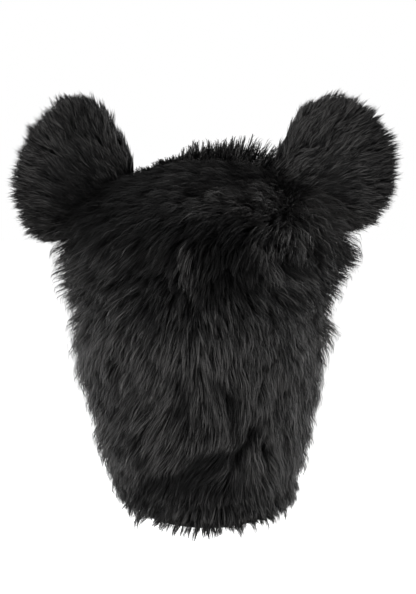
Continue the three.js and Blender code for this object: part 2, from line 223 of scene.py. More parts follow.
@dataclass
class HoodForm:
    """The hood's fabric wall: its outside, its seam, its openings and the lie of its pile."""

    sections: tuple[Section, ...] = (
        Section(-260, 46, 52, 46, 3, 10),
        Section(-240, 49, 54, 48, 2, 11),
        Section(-226, 54, 56, 50, 0, 12),
        Section(-197, 63, 60, 53, -1, 14),
        Section(-168, 69, 64, 57, 0, 15),
        Section(-150, 73, 68, 61, -2, 16),
        Section(-125, 76, 80, 68, -4, 17),
        Section(-108, 75, 90, 74, -4, 17),
        Section(-88, 80, 97, 80, -2, 19),
        Section(-60, 84, 98, 86, 0, 23),
    )
    face: tuple[FaceLevel, ...] = (
        FaceLevel(-275, 33),
        FaceLevel(-215, 33),
        FaceLevel(-165, 38),
        FaceLevel(-130, 56),
        FaceLevel(-100, 68),
        FaceLevel(-75, 67),
        FaceLevel(-52, 46),
        FaceLevel(-44, 0),
    )
    guides: tuple[NapGuide, ...] = (
        NapGuide(-40, -16, 222),
        NapGuide(-8, -18, 214),
        NapGuide(22, -22, 212),
        NapGuide(38, -24, 215),
        NapGuide(-30, 2, 224),
        NapGuide(0, 4, 224),
        NapGuide(22, 4, 226, 1.05),
        NapGuide(40, 2, 224, 1.1),
        NapGuide(58, -4, 232, 1.1),
        NapGuide(42, -10, 216, 1.05),
        NapGuide(56, -16, 218, 1.1),
        NapGuide(72, -12, 262, 1.1),
        NapGuide(43, -26, 206),
        NapGuide(57, -28, 214),
        NapGuide(70, -28, 252, 1.1),
        NapGuide(80, -32, 272),
        NapGuide(10, -34, 218),
        NapGuide(26, -38, 212),
        NapGuide(38, -40, 200),
        NapGuide(52, -40, 194),
        NapGuide(67, -42, 236),
        NapGuide(-76, -40, 232),
        NapGuide(-30, -46, 230),
        NapGuide(-2, -50, 246),
        NapGuide(15, -56, 256, 1.1),
        NapGuide(30, -54, 240, 1.1),
        NapGuide(46, -50, 216),
        NapGuide(62, -51, 250),
        NapGuide(43, -62, 262, 1.1),
        NapGuide(58, -62, 318),
        NapGuide(80, -45, 280),
        NapGuide(90, -24, 270),
        NapGuide(92, -38, 280),
        NapGuide(80, -54, 304),
        NapGuide(86, -66, 312),
        NapGuide(-12, -70, 266, 1.1),
        NapGuide(43, -75, 270, 1.1),
        NapGuide(14, -84, 274),
        NapGuide(28, -88, 304),
        NapGuide(58, -77, 348),
        NapGuide(70, -74, 330),
        NapGuide(-44, -72, 232),
        NapGuide(-90, -82, 234),
        NapGuide(84, -92, 300),
        NapGuide(62, -100, 296),
        NapGuide(-68, -136, 238),
        NapGuide(-30, -120, 252),
        NapGuide(0, -136, 268),
        NapGuide(32, -124, 284),
        NapGuide(64, -136, 274),
        NapGuide(-36, -166, 244),
        NapGuide(14, -154, 290),
        NapGuide(66, -166, 270),
        NapGuide(-56, -190, 234),
        NapGuide(-24, -200, 242),
        NapGuide(4, -186, 266),
        NapGuide(6, -214, 208),
        NapGuide(26, -182, 252),
        NapGuide(37, -176, 268),
        NapGuide(28, -204, 236),
        NapGuide(37, -197, 272),
        NapGuide(43, -207, 300),
        NapGuide(51, -198, 278),
        NapGuide(64, -206, 268),
        NapGuide(-38, -224, 244),
        NapGuide(-34, -248, 256),
        NapGuide(0, -248, 270),
        NapGuide(34, -246, 280),
    )
    # The patches' shades are painted: painted shade in the creases, whorl, pockets and valleys,
    # painted highlights on lit locks, ridges and edges. Their rises shape the pile itself.
    patches: tuple[Patch, ...] = (
        Patch(12, -52, 15, -0.28, -0.38, run_x=3, run_z=-24),
        Patch(4, -1, 9, 0.0, -0.06, run_x=52, run_z=-5),
        Patch(41, -11, 6, 0.0, -0.16, run_x=24, run_z=-8),
        Patch(-34, -40, 16, -0.12, -0.14),
        Patch(-66, -22, 24, -0.10, -0.34),
        Patch(-40, -2, 20, 0.0, -0.12),
        Patch(-38, -47, 8, -0.14, -0.18, run_x=56, run_z=0),
        Patch(-40, -74, 14, -0.05, -0.12, run_x=22, run_z=-24),
        Patch(50, -67, 5, -0.25, -0.26, run_x=18, run_z=-4),
        Patch(4, -27, 9.5, 0.06, 0.34, run_x=34, run_z=8),
        Patch(66, -22, 12, 0.0, 0.3, run_x=26, run_z=-16),
        Patch(22, -46, 8, 0.0, 0.08, run_x=50, run_z=0),
        Patch(-92, -66, 11, 0.0, 0.26, run_x=8, run_z=-46),
        Patch(76, -100, 9, 0.0, 0.22, run_x=-2, run_z=-22),
        Patch(26, -154, 8, 0.0, -0.10, run_x=2, run_z=-22),
        Patch(46, -178, 9, 0.0, -0.08),
        Patch(41, -46, 5, 0.06, 0.14, run_x=20, run_z=-4),
        Patch(46, -26, 15, 0.0, 0.08, run_x=20, run_z=-12),
        Patch(68, -30, 9, 0.12, 0.03, run_x=8, run_z=-6),
        Patch(64, -64, 22, 0.0, 0.13),
        Patch(34, -58, 4, 0.20, 0.24, run_x=14, run_z=-3),
        Patch(42, -67, 4, 0.25, 0.34, run_x=1, run_z=-14),
        Patch(-12, -61, 5, 0.22, 0.24, run_x=1, run_z=-19),
        Patch(57, -78, 5, 0.10, 0.14, run_x=14, run_z=-2),
        Patch(69, -13, 7, 0.05, 0.16, run_x=15, run_z=-14),
        Patch(90, -33, 6, 0.10, 0.38, run_x=0, run_z=-13),
        Patch(-40, -102, 13, -0.28, -0.16),
        Patch(-37, -123, 9, -0.22, -0.16),
        Patch(50, -124, 10, -0.20, -0.14),
        Patch(-20, -150, 4, -0.25, -0.26, run_x=6, run_z=-22),
        Patch(-17, -176, 7, -0.30, -0.30, run_x=3, run_z=-14),
        Patch(7, -153, 4, -0.30, -0.28, run_x=12, run_z=-16),
        Patch(19, -169, 5, -0.35, -0.32, run_x=2, run_z=-20),
        Patch(-40, -228, 5, -0.45, -0.40, run_x=26, run_z=2),
        Patch(-14, -224, 6, -0.50, -0.46, run_x=20, run_z=8),
        Patch(-4, -213, 6, -0.50, -0.46, run_x=26, run_z=4),
        Patch(-46, -236, 9, -0.30, -0.34, run_x=68, run_z=4),
        Patch(25, -209, 3.2, -0.60, -0.55, run_x=10, run_z=18),
        Patch(35, -190, 3.2, -0.60, -0.55, run_x=11, run_z=-15),
        Patch(44, -206, 3, -0.40, -0.36, run_x=1, run_z=-20),
        Patch(35, -206, 5, 0.10, 0.04),
        Patch(46, -194, 4, 0.15, 0.16, run_x=0, run_z=-40),
        Patch(-70, -152, 13, 0.0, -0.18, run_x=14, run_z=-54),
        Patch(-84, -84, 15, 0.14, 0.0),
        Patch(88, -66, 15, 0.12, 0.0),
        Patch(84, -117, 7, 0.45, 0.1),
        Patch(78, -174, 12, -0.16, 0.0),
        Patch(70, -212, 9, 0.14, 0.0),
    )
    eye: tuple[float, float, float] = (2.2, -1184.5, 23.4)
    stand_off: float = 10.0
    brow: float = -60.0
    dome: float = 63.0
    dome_rows: float = 0.4
    form_bottom: float = -262.0
    guide_softness: float = 64.0
    guide_fall: float = 1.6
    seam_y: float = -28.0
    seam_lean: float = 0.12
    parting: float = -2.0
    hem_top: float = -225.0
    hem_bottom: float = -244.0
    hem_rise: float = 0.13
    hem_roll: float = 2.6
    brow_shorter: float = 0.38
    crown_shorter: float = 0.61
    crest_from: float = -15.0
    crest_to: float = 66.0
    crest_height: float = 16.5
    # Painted light and shade in the pile's colour: crown and top painted darker, band below the
    # crown and crest painted paler, hem painted darker under the overhang.
    crown_painted_shade: float = 0.115
    low_painted_light: float = 0.13
    top_painted_shade: float = 0.05
    crest_painted_light: float = 0.2
    hem_painted_shade: float = 0.12
    seam_blend: Span = Span(-7.0, 9.0)
    mess_blend: Span = Span(0.12, 0.75)
    patched_back: Span = Span(-25.0, -5.0)
    patch_rises: Span = Span(-0.75, 0.6)
    crown_climb: Span = Span(-132.0, -92.0)
    top_climb: Span = Span(-40.0, 0.0)
    crest_climb: Span = Span(-30.0, -8.0)
    crest_ahead: Span = Span(-8.0, 8.0)
    hem_fall: Span = Span(224.0, 234.0)
    dimming: float = 1.8
    dimmest: float = 0.08
    levels: np.ndarray = field(init=False)
    sizes: np.ndarray = field(init=False)
    slopes: np.ndarray = field(init=False)

    def __post_init__(self) -> None:
        """Works out the curve through the section table."""
        self.levels = np.array([s.z for s in self.sections], float)
        rows = [[s.half, s.back, s.front, s.shift, s.pile] for s in self.sections]
        self.sizes = np.array(rows, float)
        steps = np.gradient(self.levels)[:, None]
        self.slopes = np.gradient(self.sizes, axis=0) / steps

    def section(self, z: np.ndarray) -> np.ndarray:
        """The wall's sizes at some heights.

        Args:
            z: Heights in millimetres.

        Returns:
            A row for each height: half width, back, front, shift and pile.
        """
        z = np.clip(z, self.levels[0], self.levels[-1])
        low = np.clip(np.searchsorted(self.levels, z, "right") - 1, 0, len(self.levels) - 2)
        span = (self.levels[low + 1] - self.levels[low])[:, None]
        t = (z - self.levels[low])[:, None] / span
        first, last = self.sizes[low], self.sizes[low + 1]
        leave, arrive = self.slopes[low] * span, self.slopes[low + 1] * span
        curve = (2 * t**3 - 3 * t**2 + 1) * first + (t**3 - 2 * t**2 + t) * leave
        return curve + (3 * t**2 - 2 * t**3) * last + (t**3 - t**2) * arrive

    def depth_in(self, points: np.ndarray) -> np.ndarray:
        """How far out points lie, as a part of the way to the wall.

        Args:
            points: Points in millimetres, one to a row.

        Returns:
            A number for each, which is 1 on the wall.
        """
        half, back, front, shift, _ = self.section(points[:, 2]).T
        reach = np.where(points[:, 1] < 0, back, front)
        rise = np.maximum(points[:, 2] - self.brow, 0.0)
        squares = ((points[:, 0] - shift) / half) ** 2 + (points[:, 1] / reach) ** 2
        return np.sqrt(squares + (rise / self.dome) ** 2)

    def on_wall(self, points: np.ndarray) -> tuple[np.ndarray, np.ndarray]:
        """The nearest places on the wall's outside.

        Args:
            points: Points in millimetres, one to a row.

        Returns:
            The places, and the outward direction at each.
        """
        half, back, front, shift, _ = self.section(points[:, 2]).T
        reach = np.where(points[:, 1] < 0, back, front)
        rise = np.maximum(points[:, 2] - self.brow, 0.0)
        across = points[:, 0] - shift
        size = np.maximum(self.depth_in(points), 1e-6)
        level = np.where(rise > 0, self.brow + rise / size, points[:, 2])
        place = np.stack([shift + across / size, points[:, 1] / size, level], 1)
        out = np.stack([across / half**2, points[:, 1] / reach**2, rise / self.dome**2], 1)
        return place, unit(out)

    def seen(self, points: np.ndarray) -> tuple[np.ndarray, np.ndarray]:
        """Where the pile over some places shows in the plane y = 0, looked at from the camera.

        Args:
            points: Places on the wall.

        Returns:
            Their x and z in that plane.
        """
        raised = points + self.on_wall(points)[1] * self.stand_off
        scale = -self.eye[1] / (raised[:, 1] - self.eye[1])
        x = self.eye[0] + (raised[:, 0] - self.eye[0]) * scale
        return x, self.eye[2] + (raised[:, 2] - self.eye[2]) * scale

    def sway(self, place: np.ndarray) -> np.ndarray:
        """A slow drift of the pile's heading over the hood.

        Args:
            place: Places on the wall.

        Returns:
            A number for each, from about -1 to 1.
        """
        x, y, z = place.T
        drift = np.sin(x * 0.11 + z * 0.05 + 1.3) + np.sin(z * 0.13 - x * 0.04 + y * 0.05)
        return (drift + np.sin(x * 0.21 - z * 0.17 + y * 0.12 + 4.0)) / 3.0

    def past_seam(self, place: np.ndarray) -> np.ndarray:
        """How far in front of the ear-to-ear seam places lie, where the pile hides it unevenly.

        Args:
            place: Places on the wall.

        Returns:
            The distances in millimetres, below 0 behind the seam.
        """
        x, y, z = place.T
        wander = 2.6 * np.sin(x * 0.17 + z * 0.09) + 2.2 * np.sin(z * 0.31 - x * 0.05 + 1.0)
        return y - self.seam_y + self.seam_lean * z + wander

    def hem_at(self, y: np.ndarray, level: float) -> np.ndarray:
        """A level of the hem, which rises to the front."""
        return level + self.hem_rise * (y + self.sections[2].back)

    def in_face(self, points: np.ndarray, margin: float) -> np.ndarray:
        """Whether places lie in the face opening, widened by a margin.

        Args:
            points: Places on the wall.
            margin: The margin in millimetres.

        Returns:
            A truth value for each.
        """
        levels = [row.z for row in self.face]
        half = np.interp(points[:, 2], levels, [row.half for row in self.face], right=-99.0)
        return (points[:, 1] > 0) & (np.abs(points[:, 0]) < half + margin)

    def pile_depth(self, points: np.ndarray) -> np.ndarray:
        """How far the pile stands off the wall, which is most over the crest of the crown.

        Args:
            points: Places on the wall.

        Returns:
            The distances in millimetres.
        """
        rise = ease(points[:, 2], self.brow + 12, 3.0)
        on_band = ease(points[:, 1], self.seam_y, self.seam_y + 20)
        sides = ease(points[:, 0], self.crest_from - 8, self.crest_from + 8)
        sides = sides * (1.0 - ease(points[:, 0], self.crest_to - 10, self.crest_to + 10))
        depth = self.section(points[:, 2])[:, 4] * (1.0 - self.crown_shorter * rise)
        crest = 0.5 + 0.5 * ease(points[:, 0], -8.0, 36.0)
        depth = depth + self.crest_height * crest * rise * on_band * sides
        brow = ease(points[:, 1], 20.0, 66.0) * ease(points[:, 2], self.brow - 36, self.brow)
        depth = depth * (1.0 - self.brow_shorter * brow)
        return depth * (1.0 + self.patched(points)[0])

    def patched(self, points: np.ndarray) -> tuple[np.ndarray, np.ndarray]:
        """What the patches add to the pile's height and to its painted shade and highlights.

        Args:
            points: Places on the wall.

        Returns:
            The part added to the height, and the painted shade or highlight added.
        """
        rise = np.zeros(len(points))
        shade = np.zeros(len(points))
        behind = self.patched_back.climb(-points[:, 1])
        x, z = self.seen(points)
        for patch in self.patches:
            near = behind * np.exp(-((patch.away(x, z) / patch.radius) ** 2))
            rise += patch.rise * near
            shade += patch.shade * near
        return np.clip(rise, self.patch_rises.low, self.patch_rises.high), shade

    def shaded(self, points: np.ndarray, shade: np.ndarray) -> np.ndarray:
        """Shades for the pile at some places, with painted shade darkest over the crown and in the
        dark patches.

        Args:
            points: Places on the wall.
            shade: The strands' own shades there.

        Returns:
            The shades.
        """
        z = self.seen(points)[1]
        crown = self.crown_climb.climb(z + 14.0 * self.sway(points))
        hem = self.hem_fall.climb(-z)
        top = self.top_climb.climb(z)
        # Painted shade over the crown and painted light below it, where the lamps catch the hanging
        # pile.
        tone = self.low_painted_light - (self.low_painted_light + self.crown_painted_shade) * crown
        # Painted shade on the top of the crown and on the hem band under the overhanging pile.
        tone = tone - self.top_painted_shade * top - self.hem_painted_shade * hem
        # Painted light on the pile standing on the crest, which the lamps barely reach.
        crest = self.crest_climb.climb(points[:, 2])
        crest = crest * self.crest_ahead.climb(self.past_seam(points))
        tone = tone + self.crest_painted_light * crest
        # The patches' painted shade dims the pile and their painted highlights pale it.
        patch = self.patched(points)[1]
        dimmed = np.clip(1.0 + self.dimming * np.minimum(patch, 0.0), self.dimmest, 1.0)
        return np.maximum(shade + tone, 0.0) * dimmed + np.maximum(patch, 0.0)

    def nap(self, place: np.ndarray, out: np.ndarray) -> tuple[np.ndarray, np.ndarray, np.ndarray]:
        """The lie of the pile.

        Args:
            place: Places on the wall.
            out: The outward direction at each.

        Returns:
            The heading along the surface at each place, how much more it lifts there, and how
            far the guides round it disagree.
        """
        heading = np.zeros_like(place)
        lift = np.zeros(len(place))
        total = np.zeros(len(place))
        band = self.seam_blend.climb(self.past_seam(place))
        x, z = self.seen(place)
        for guide in self.guides:
            square = (x - guide.x) ** 2 + (z - guide.z) ** 2
            weight = (square + self.guide_softness) ** -self.guide_fall
            heading[:, 0] += weight * math.cos(math.radians(guide.heading))
            heading[:, 2] += weight * math.sin(math.radians(guide.heading))
            lift += weight * guide.lift
            total += weight
        lift = lift / total
        mess = 1.0 - np.linalg.norm(heading, axis=1) / total
        low = np.maximum(ease(-place[:, 2], 20.0, 200.0), 0.9 * ease(place[:, 1], 20.0, 76.0))
        over = ease(-place[:, 1], self.parting - 8.0, self.parting + 8.0)
        over = over * ease(place[:, 2], -70.0, -35.0)
        ahead = np.stack([0.12 * over, (1.0 - low) * (1.0 - 2.0 * over), -0.25 - low], 1)
        heading = heading / total[:, None]
        heading = heading + (ahead - heading) * band[:, None]
        lift = lift + (1.0 - lift) * band
        mess = self.mess_blend.climb(mess) * (1.0 - band)
        heading = heading - out * np.sum(heading * out, axis=1, keepdims=True)
        return unit(heading), lift, mess

    def grid(self, around: int, rows: int) -> np.ndarray:
        """A grid of points over the wall's outside, from the crown down to the hem.

        Args:
            around: Steps round the hood.
            rows: Steps down it.

        Returns:
            The points, in rows and columns.
        """
        angle = np.linspace(0.0, 2.0 * math.pi, around + 1)
        step = np.linspace(0.001, 1.0, rows + 1)
        dome_rows = self.dome_rows
        on_dome = step < dome_rows
        climb = np.where(on_dome, (1.0 - step / dome_rows) * math.pi / 2, 0.0)
        fall = np.clip((step - dome_rows) / (1.0 - dome_rows), 0.0, 1.0)
        below = self.brow * (1 - fall) + self.form_bottom * fall
        z = np.where(on_dome, self.brow + self.dome * np.sin(climb), below)
        half, back, front, shift, _ = self.section(z).T
        turn, row = np.meshgrid(angle, np.arange(rows + 1))
        reach = np.where(np.cos(turn) > 0, back[row], front[row])
        x = shift[row] + half[row] * np.cos(climb[row]) * np.sin(turn)
        y = -reach * np.cos(climb[row]) * np.cos(turn)
        return np.stack([x, y, z[row]], axis=2)


@dataclass
class EarForm:
    """A round padded ear, in millimetres.

    It has a centre, a size over the pile, a lean, a straighter stretch of edge that faces the
    crown, a place on the head that its pile is combed away from, and patches of painted shade
    and painted highlight.
    """

    side: Side
    x: float
    z: float
    wide: float
    tall: float
    lean: float
    flat_angle: float
    flat_reach: float
    comb_x: float
    comb_z: float
    patches: tuple[Patch, ...]
    y: float = -22.0
    pile: float = 10.0
    flat_pile: float = 4.5
    half_thickness: float = 12.0
    cup: float = 9.0
    root_stretch: float = 1.55
    brow: float = -60.0

    def point(self, angle: np.ndarray, polar: np.ndarray) -> np.ndarray:
        """Places on the ear.

        Args:
            angle: Angle round its middle.
            polar: Angle from its back face over the rim to its front face.

        Returns:
            The places, in millimetres.
        """
        ring = np.maximum(np.sin(polar), 0.0) ** 0.75
        lean = math.radians(self.lean) * self.side.value
        towards = np.cos(angle + lean - math.radians(self.flat_angle))
        gap = self.pile * (1.0 - 0.6 * ease(towards, -0.2, 0.7))
        wide = (self.wide - gap) * ring * np.cos(angle)
        tall = (self.tall - gap) * ring * np.sin(angle)
        x = wide * math.cos(lean) - tall * math.sin(lean)
        z = tall * math.cos(lean) + wide * math.sin(lean)
        to_head = np.array([-self.x, self.brow - self.z])
        to_head = to_head / np.linalg.norm(to_head)
        inward = np.maximum((x * to_head[0] + z * to_head[1]) / self.wide, 0.0)
        spread = (x / self.wide) ** 2 + (z / self.tall) ** 2
        stretch = 1.0 + (self.root_stretch - 1.0) * inward
        x, z = x * stretch, z * stretch
        facing = math.radians(self.flat_angle)
        flat = np.array([math.cos(facing), math.sin(facing)])
        limit = self.flat_reach - self.flat_pile
        over = np.maximum(x * flat[0] + z * flat[1] - 0.88 * limit, 0.0)
        back = over - 0.12 * limit * (1.0 - np.exp(-over / (0.12 * limit)))
        x, z = x - back * flat[0], z - back * flat[1]
        y = self.y - self.half_thickness * np.cos(polar) + self.cup * spread
        return np.stack([self.x + x, y, self.z + z], axis=-1)

    def grid(self, around: int, rows: int) -> np.ndarray:
        """A grid of points over the padded form.

        Args:
            around: Steps round the ear.
            rows: Steps from its back face to its front face.

        Returns:
            The points, in rows and columns.
        """
        angle, polar = np.meshgrid(
            np.linspace(0.0, 2.0 * math.pi, around + 1), np.linspace(0.02, math.pi - 0.02, rows + 1)
        )
        return self.point(angle, polar)

    def outward(self, points: np.ndarray) -> np.ndarray:
        """Roughly the outward direction at places on the ear, from its middle sheet.

        Args:
            points: The places, one to a row.

        Returns:
            A unit direction for each.
        """
        lean = math.radians(self.lean) * self.side.value
        dx, dz = points[:, 0] - self.x, points[:, 2] - self.z
        wide = dx * math.cos(lean) + dz * math.sin(lean)
        tall = dz * math.cos(lean) - dx * math.sin(lean)
        middle = self.y + self.cup * ((dx / self.wide) ** 2 + (dz / self.tall) ** 2)
        across = wide / (self.wide - self.pile) ** 2
        along = tall / (self.tall - self.pile) ** 2
        out = np.stack(
            [
                across * math.cos(lean) - along * math.sin(lean),
                (points[:, 1] - middle) / self.half_thickness**2,
                along * math.cos(lean) + across * math.sin(lean),
            ],
            1,
        )
        return unit(out)

    def room(self, points: np.ndarray, heading: np.ndarray) -> np.ndarray:
        """How far it is from places on the ear, along a heading, to the outline over the pile.

        Args:
            points: The places, in millimetres.
            heading: A heading for each, seen from behind.

        Returns:
            The distances, in millimetres.
        """
        lean = math.radians(self.lean) * self.side.value
        turn = np.array([[math.cos(lean), -math.sin(lean)], [math.sin(lean), math.cos(lean)]])
        size = np.array([self.wide, self.tall])
        start = (points[:, ::2] - np.array([self.x, self.z])) @ turn / size
        along = unit(heading[:, ::2]) @ turn / size
        square = np.sum(along**2, axis=1)
        middle = np.sum(start * along, axis=1) / square
        rest = (np.sum(start**2, axis=1) - 1.0) / square
        return np.sqrt(np.maximum(middle**2 - rest, 0.0)) - middle

    def shaded(self, points: np.ndarray, shade: np.ndarray) -> np.ndarray:
        """Shades for the pile at places on the ear, with the patches' painted shade and painted
        highlights.

        Args:
            points: The places, one to a row.
            shade: The strands' own shades there, a row to a place.

        Returns:
            The shades.
        """
        for patch in self.patches:
            near = np.exp(-((patch.away(points[:, 0], points[:, 2]) / patch.radius) ** 2))[:, None]
            shade = shade * (1.0 + min(patch.shade, 0.0) * near) + max(patch.shade, 0.0) * near
        return shade

    def heading(self, points: np.ndarray, outs: np.ndarray) -> np.ndarray:
        """The way the pile is combed: away from the head, and over the outer rim.

        Args:
            points: Places on the ear.
            outs: The outward direction at each.

        Returns:
            The headings.
        """
        fan = points - np.array([self.comb_x, self.y, self.comb_z])
        fan[:, 1] *= 0.15
        fan = unit(fan)
        cross = fan[:, 0] * outs[:, 2] - fan[:, 2] * outs[:, 0]
        outer = 0.1 + 0.9 * ease(-self.side.value * cross, -0.25, 0.3)
        rim = outs * np.array([0.6, 0.0, 0.6])
        return unit(fan + rim * outer[:, None])


def scatter(grid: np.ndarray, count: int, rng: np.random.Generator) -> np.ndarray:
    """Scatters points evenly by area over a grid of points.

    Args:
        grid: Points in rows and columns.
        count: How many to scatter.
        rng: The source of chance.

    Returns:
        The scattered points, one to a row.
    """
    a, b = grid[:-1, :-1].reshape(-1, 3), grid[:-1, 1:].reshape(-1, 3)
    c, d = grid[1:, :-1].reshape(-1, 3), grid[1:, 1:].reshape(-1, 3)
    first = np.concatenate([a, d])
    second = np.concatenate([b, c])
    third = np.concatenate([c, b])
    area = np.linalg.norm(np.cross(second - first, third - first), axis=1)
    pick = rng.choice(len(area), count, p=area / area.sum())
    u, v = rng.random(count), rng.random(count)
    over = u + v > 1.0
    u, v = np.where(over, 1.0 - u, u)[:, None], np.where(over, 1.0 - v, v)[:, None]
    return first[pick] + (second - first)[pick] * u + (third - first)[pick] * v


def spaced(points: np.ndarray, gap: float) -> np.ndarray:
    """Which of some points to keep so that the kept ones lie a gap apart.

    Args:
        points: The candidates, in a chance order.
        gap: The least distance between kept points.

    Returns:
        The indices of the kept points.
    """
    cells: dict[tuple[int, int, int], list[int]] = {}
    kept: list[int] = []
    keys = np.floor(points / gap).astype(int)
    near = [(i, j, k) for i in (-1, 0, 1) for j in (-1, 0, 1) for k in (-1, 0, 1)]
    limit = gap * gap
    rows = points.tolist()
    for index, (i, j, k) in enumerate(keys.tolist()):
        x, y, z = rows[index]
        clear = True
        for di, dj, dk in near:
            for other in cells.get((i + di, j + dj, k + dk), ()):
                ox, oy, oz = rows[other]
                if (x - ox) ** 2 + (y - oy) ** 2 + (z - oz) ** 2 < limit:
                    clear = False
                    break
            if not clear:
                break
        if clear:
            kept.append(index)
            cells.setdefault((i, j, k), []).append(index)
    return np.array(kept, int)


def nearest(points: np.ndarray, centres: np.ndarray) -> np.ndarray:
    """Finds the nearest centre to each point.

    Args:
        points: The points, one to a row.
        centres: The centres, one to a row.

    Returns:
        The index of a centre for each point.
    """
    tree = KDTree(len(centres))
    for index, place in enumerate(centres.tolist()):
        tree.insert(place, index)
    tree.balance()
    return np.array([tree.find(place)[1] for place in points.tolist()], int)


@dataclass
class Strands:
    """Many strands as curves: points, outward directions and shades, a row of them to a strand."""

    points: np.ndarray
    outs: np.ndarray
    width: np.ndarray
    shade: np.ndarray


@dataclass(frozen=True)
class Ribbon:
    """How one strand is made as a thin tapered ribbon that shades as a round one does."""

    taper: tuple[float, ...] = (0.7, 1.0, 0.72)
    roundness: float = 52.0
    roll: float = 55.0

    def mesh(self, name: str, strands: Strands, rng: np.random.Generator) -> bpy.types.Object:
        """Makes all the strands one mesh object.

        Args:
            name: The object's name.
            strands: The strands' curves, in millimetres.
            rng: The source of chance.

        Returns:
            The object, with a map for its shade and one for baking.
        """
        points = strands.points
        count, rings = points.shape[0], points.shape[1]
        along = unit(np.gradient(points, axis=1))
        side = unit(np.cross(along, strands.outs))
        face = np.cross(side, along)
        roll = np.radians(rng.uniform(-self.roll, self.roll, count))[:, None, None]
        rolled = side * np.cos(roll) + face * np.sin(roll)
        face = face * np.cos(roll) - side * np.sin(roll)
        side = rolled
        half = np.array(self.taper)[None, :, None] * strands.width[:, None, None] / 2.0
        left = points[:, :-1] - side[:, :-1] * half
        right = points[:, :-1] + side[:, :-1] * half
        tilt = math.radians(self.roundness)
        facing = face * math.cos(tilt)
        edge = side * math.sin(tilt)
        vertices = np.empty((count, 2 * rings - 1, 3))
        normals = np.empty_like(vertices)
        vertices[:, 0:-1:2], vertices[:, 1:-1:2], vertices[:, -1] = left, right, points[:, -1]
        normals[:, 0:-1:2] = (facing - edge)[:, :-1]
        normals[:, 1:-1:2] = (facing + edge)[:, :-1]
        normals[:, -1] = face[:, -1]
        quads = np.array([[2 * k, 2 * k + 1, 2 * k + 3, 2 * k + 2] for k in range(rings - 2)])
        last = 2 * (rings - 2)
        corners = np.concatenate([quads.ravel(), [last, last + 1, last + 2]])
        per = 2 * rings - 1
        loops = (corners[None] + per * np.arange(count)[:, None]).ravel()
        sizes = np.tile(np.array([4] * (rings - 2) + [3]), count)
        mesh = bpy.data.meshes.new(name)
        mesh.vertices.add(count * per)
        mesh.vertices.foreach_set("co", (vertices * MM).ravel())
        mesh.loops.add(len(loops))
        mesh.loops.foreach_set("vertex_index", loops)
        mesh.polygons.add(len(sizes))
        mesh.polygons.foreach_set("loop_start", np.concatenate([[0], np.cumsum(sizes)[:-1]]))
        mesh.polygons.foreach_set("loop_total", sizes)
        mesh.update(calc_edges=True)
        mesh.shade_smooth()
        places = self.map_places(strands.shade, rings, rng)[:, corners]
        for layer in (SHADE_MAP, BAKE_MAP):
            mesh.uv_layers.new(name=layer).uv.foreach_set("vector", places.ravel())
        mesh.normals_split_custom_set_from_vertices(unit(normals).reshape(-1, 3))
        return placed(name, mesh)

    def map_places(self, shade: np.ndarray, rings: int, rng: np.random.Generator) -> np.ndarray:
        """Map places that hold each strand's shade across and its root-to-tip length up.

        Args:
            shade: Shades from 0 to 1, a row of them to a strand.
            rings: Points to a strand.
            rng: The source of chance.

        Returns:
            A place for each vertex of each strand.
        """
        count, per = len(shade), 2 * rings - 1
        across = 0.012 + 0.976 * np.clip(np.repeat(shade, 2, axis=1)[:, :per], 0.0, 1.0)
        band = rng.integers(0, MAP_BANDS, count)
        level = np.repeat(np.arange(rings) / (rings - 1), 2)[:per]
        spread = np.where(np.arange(per) % 2 == 0, -0.008, 0.008)
        spread[-1] = 0.0
        places = np.empty((count, per, 2))
        places[:, :, 0] = across + spread[None]
        places[:, :, 1] = (band[:, None] + 0.04 + 0.92 * level[None]) / MAP_BANDS
        return places


@dataclass
class Groups:
    """How strands gather in locks and locks in tufts, as the index of each one's lock or tuft."""

    lock_of: np.ndarray
    tuft_of: np.ndarray
    locks: int
    tufts: int

    def by_tuft(self, middle: float, spread: float, rng: np.random.Generator) -> np.ndarray:
        """A chance number for each lock, the same in all the locks of a tuft."""
        return rng.normal(middle, spread, self.tufts)[self.tuft_of]

    def by_lock(self, middle: float, spread: float, rng: np.random.Generator) -> np.ndarray:
        """A chance number for each lock."""
        return rng.normal(middle, spread, self.locks)


@dataclass
class Kinds:
    """Which strands are under, stray or guard ones, and the part of its lock that each reaches."""

    under: np.ndarray
    stray: np.ndarray
    guard: np.ndarray
    reach: np.ndarray


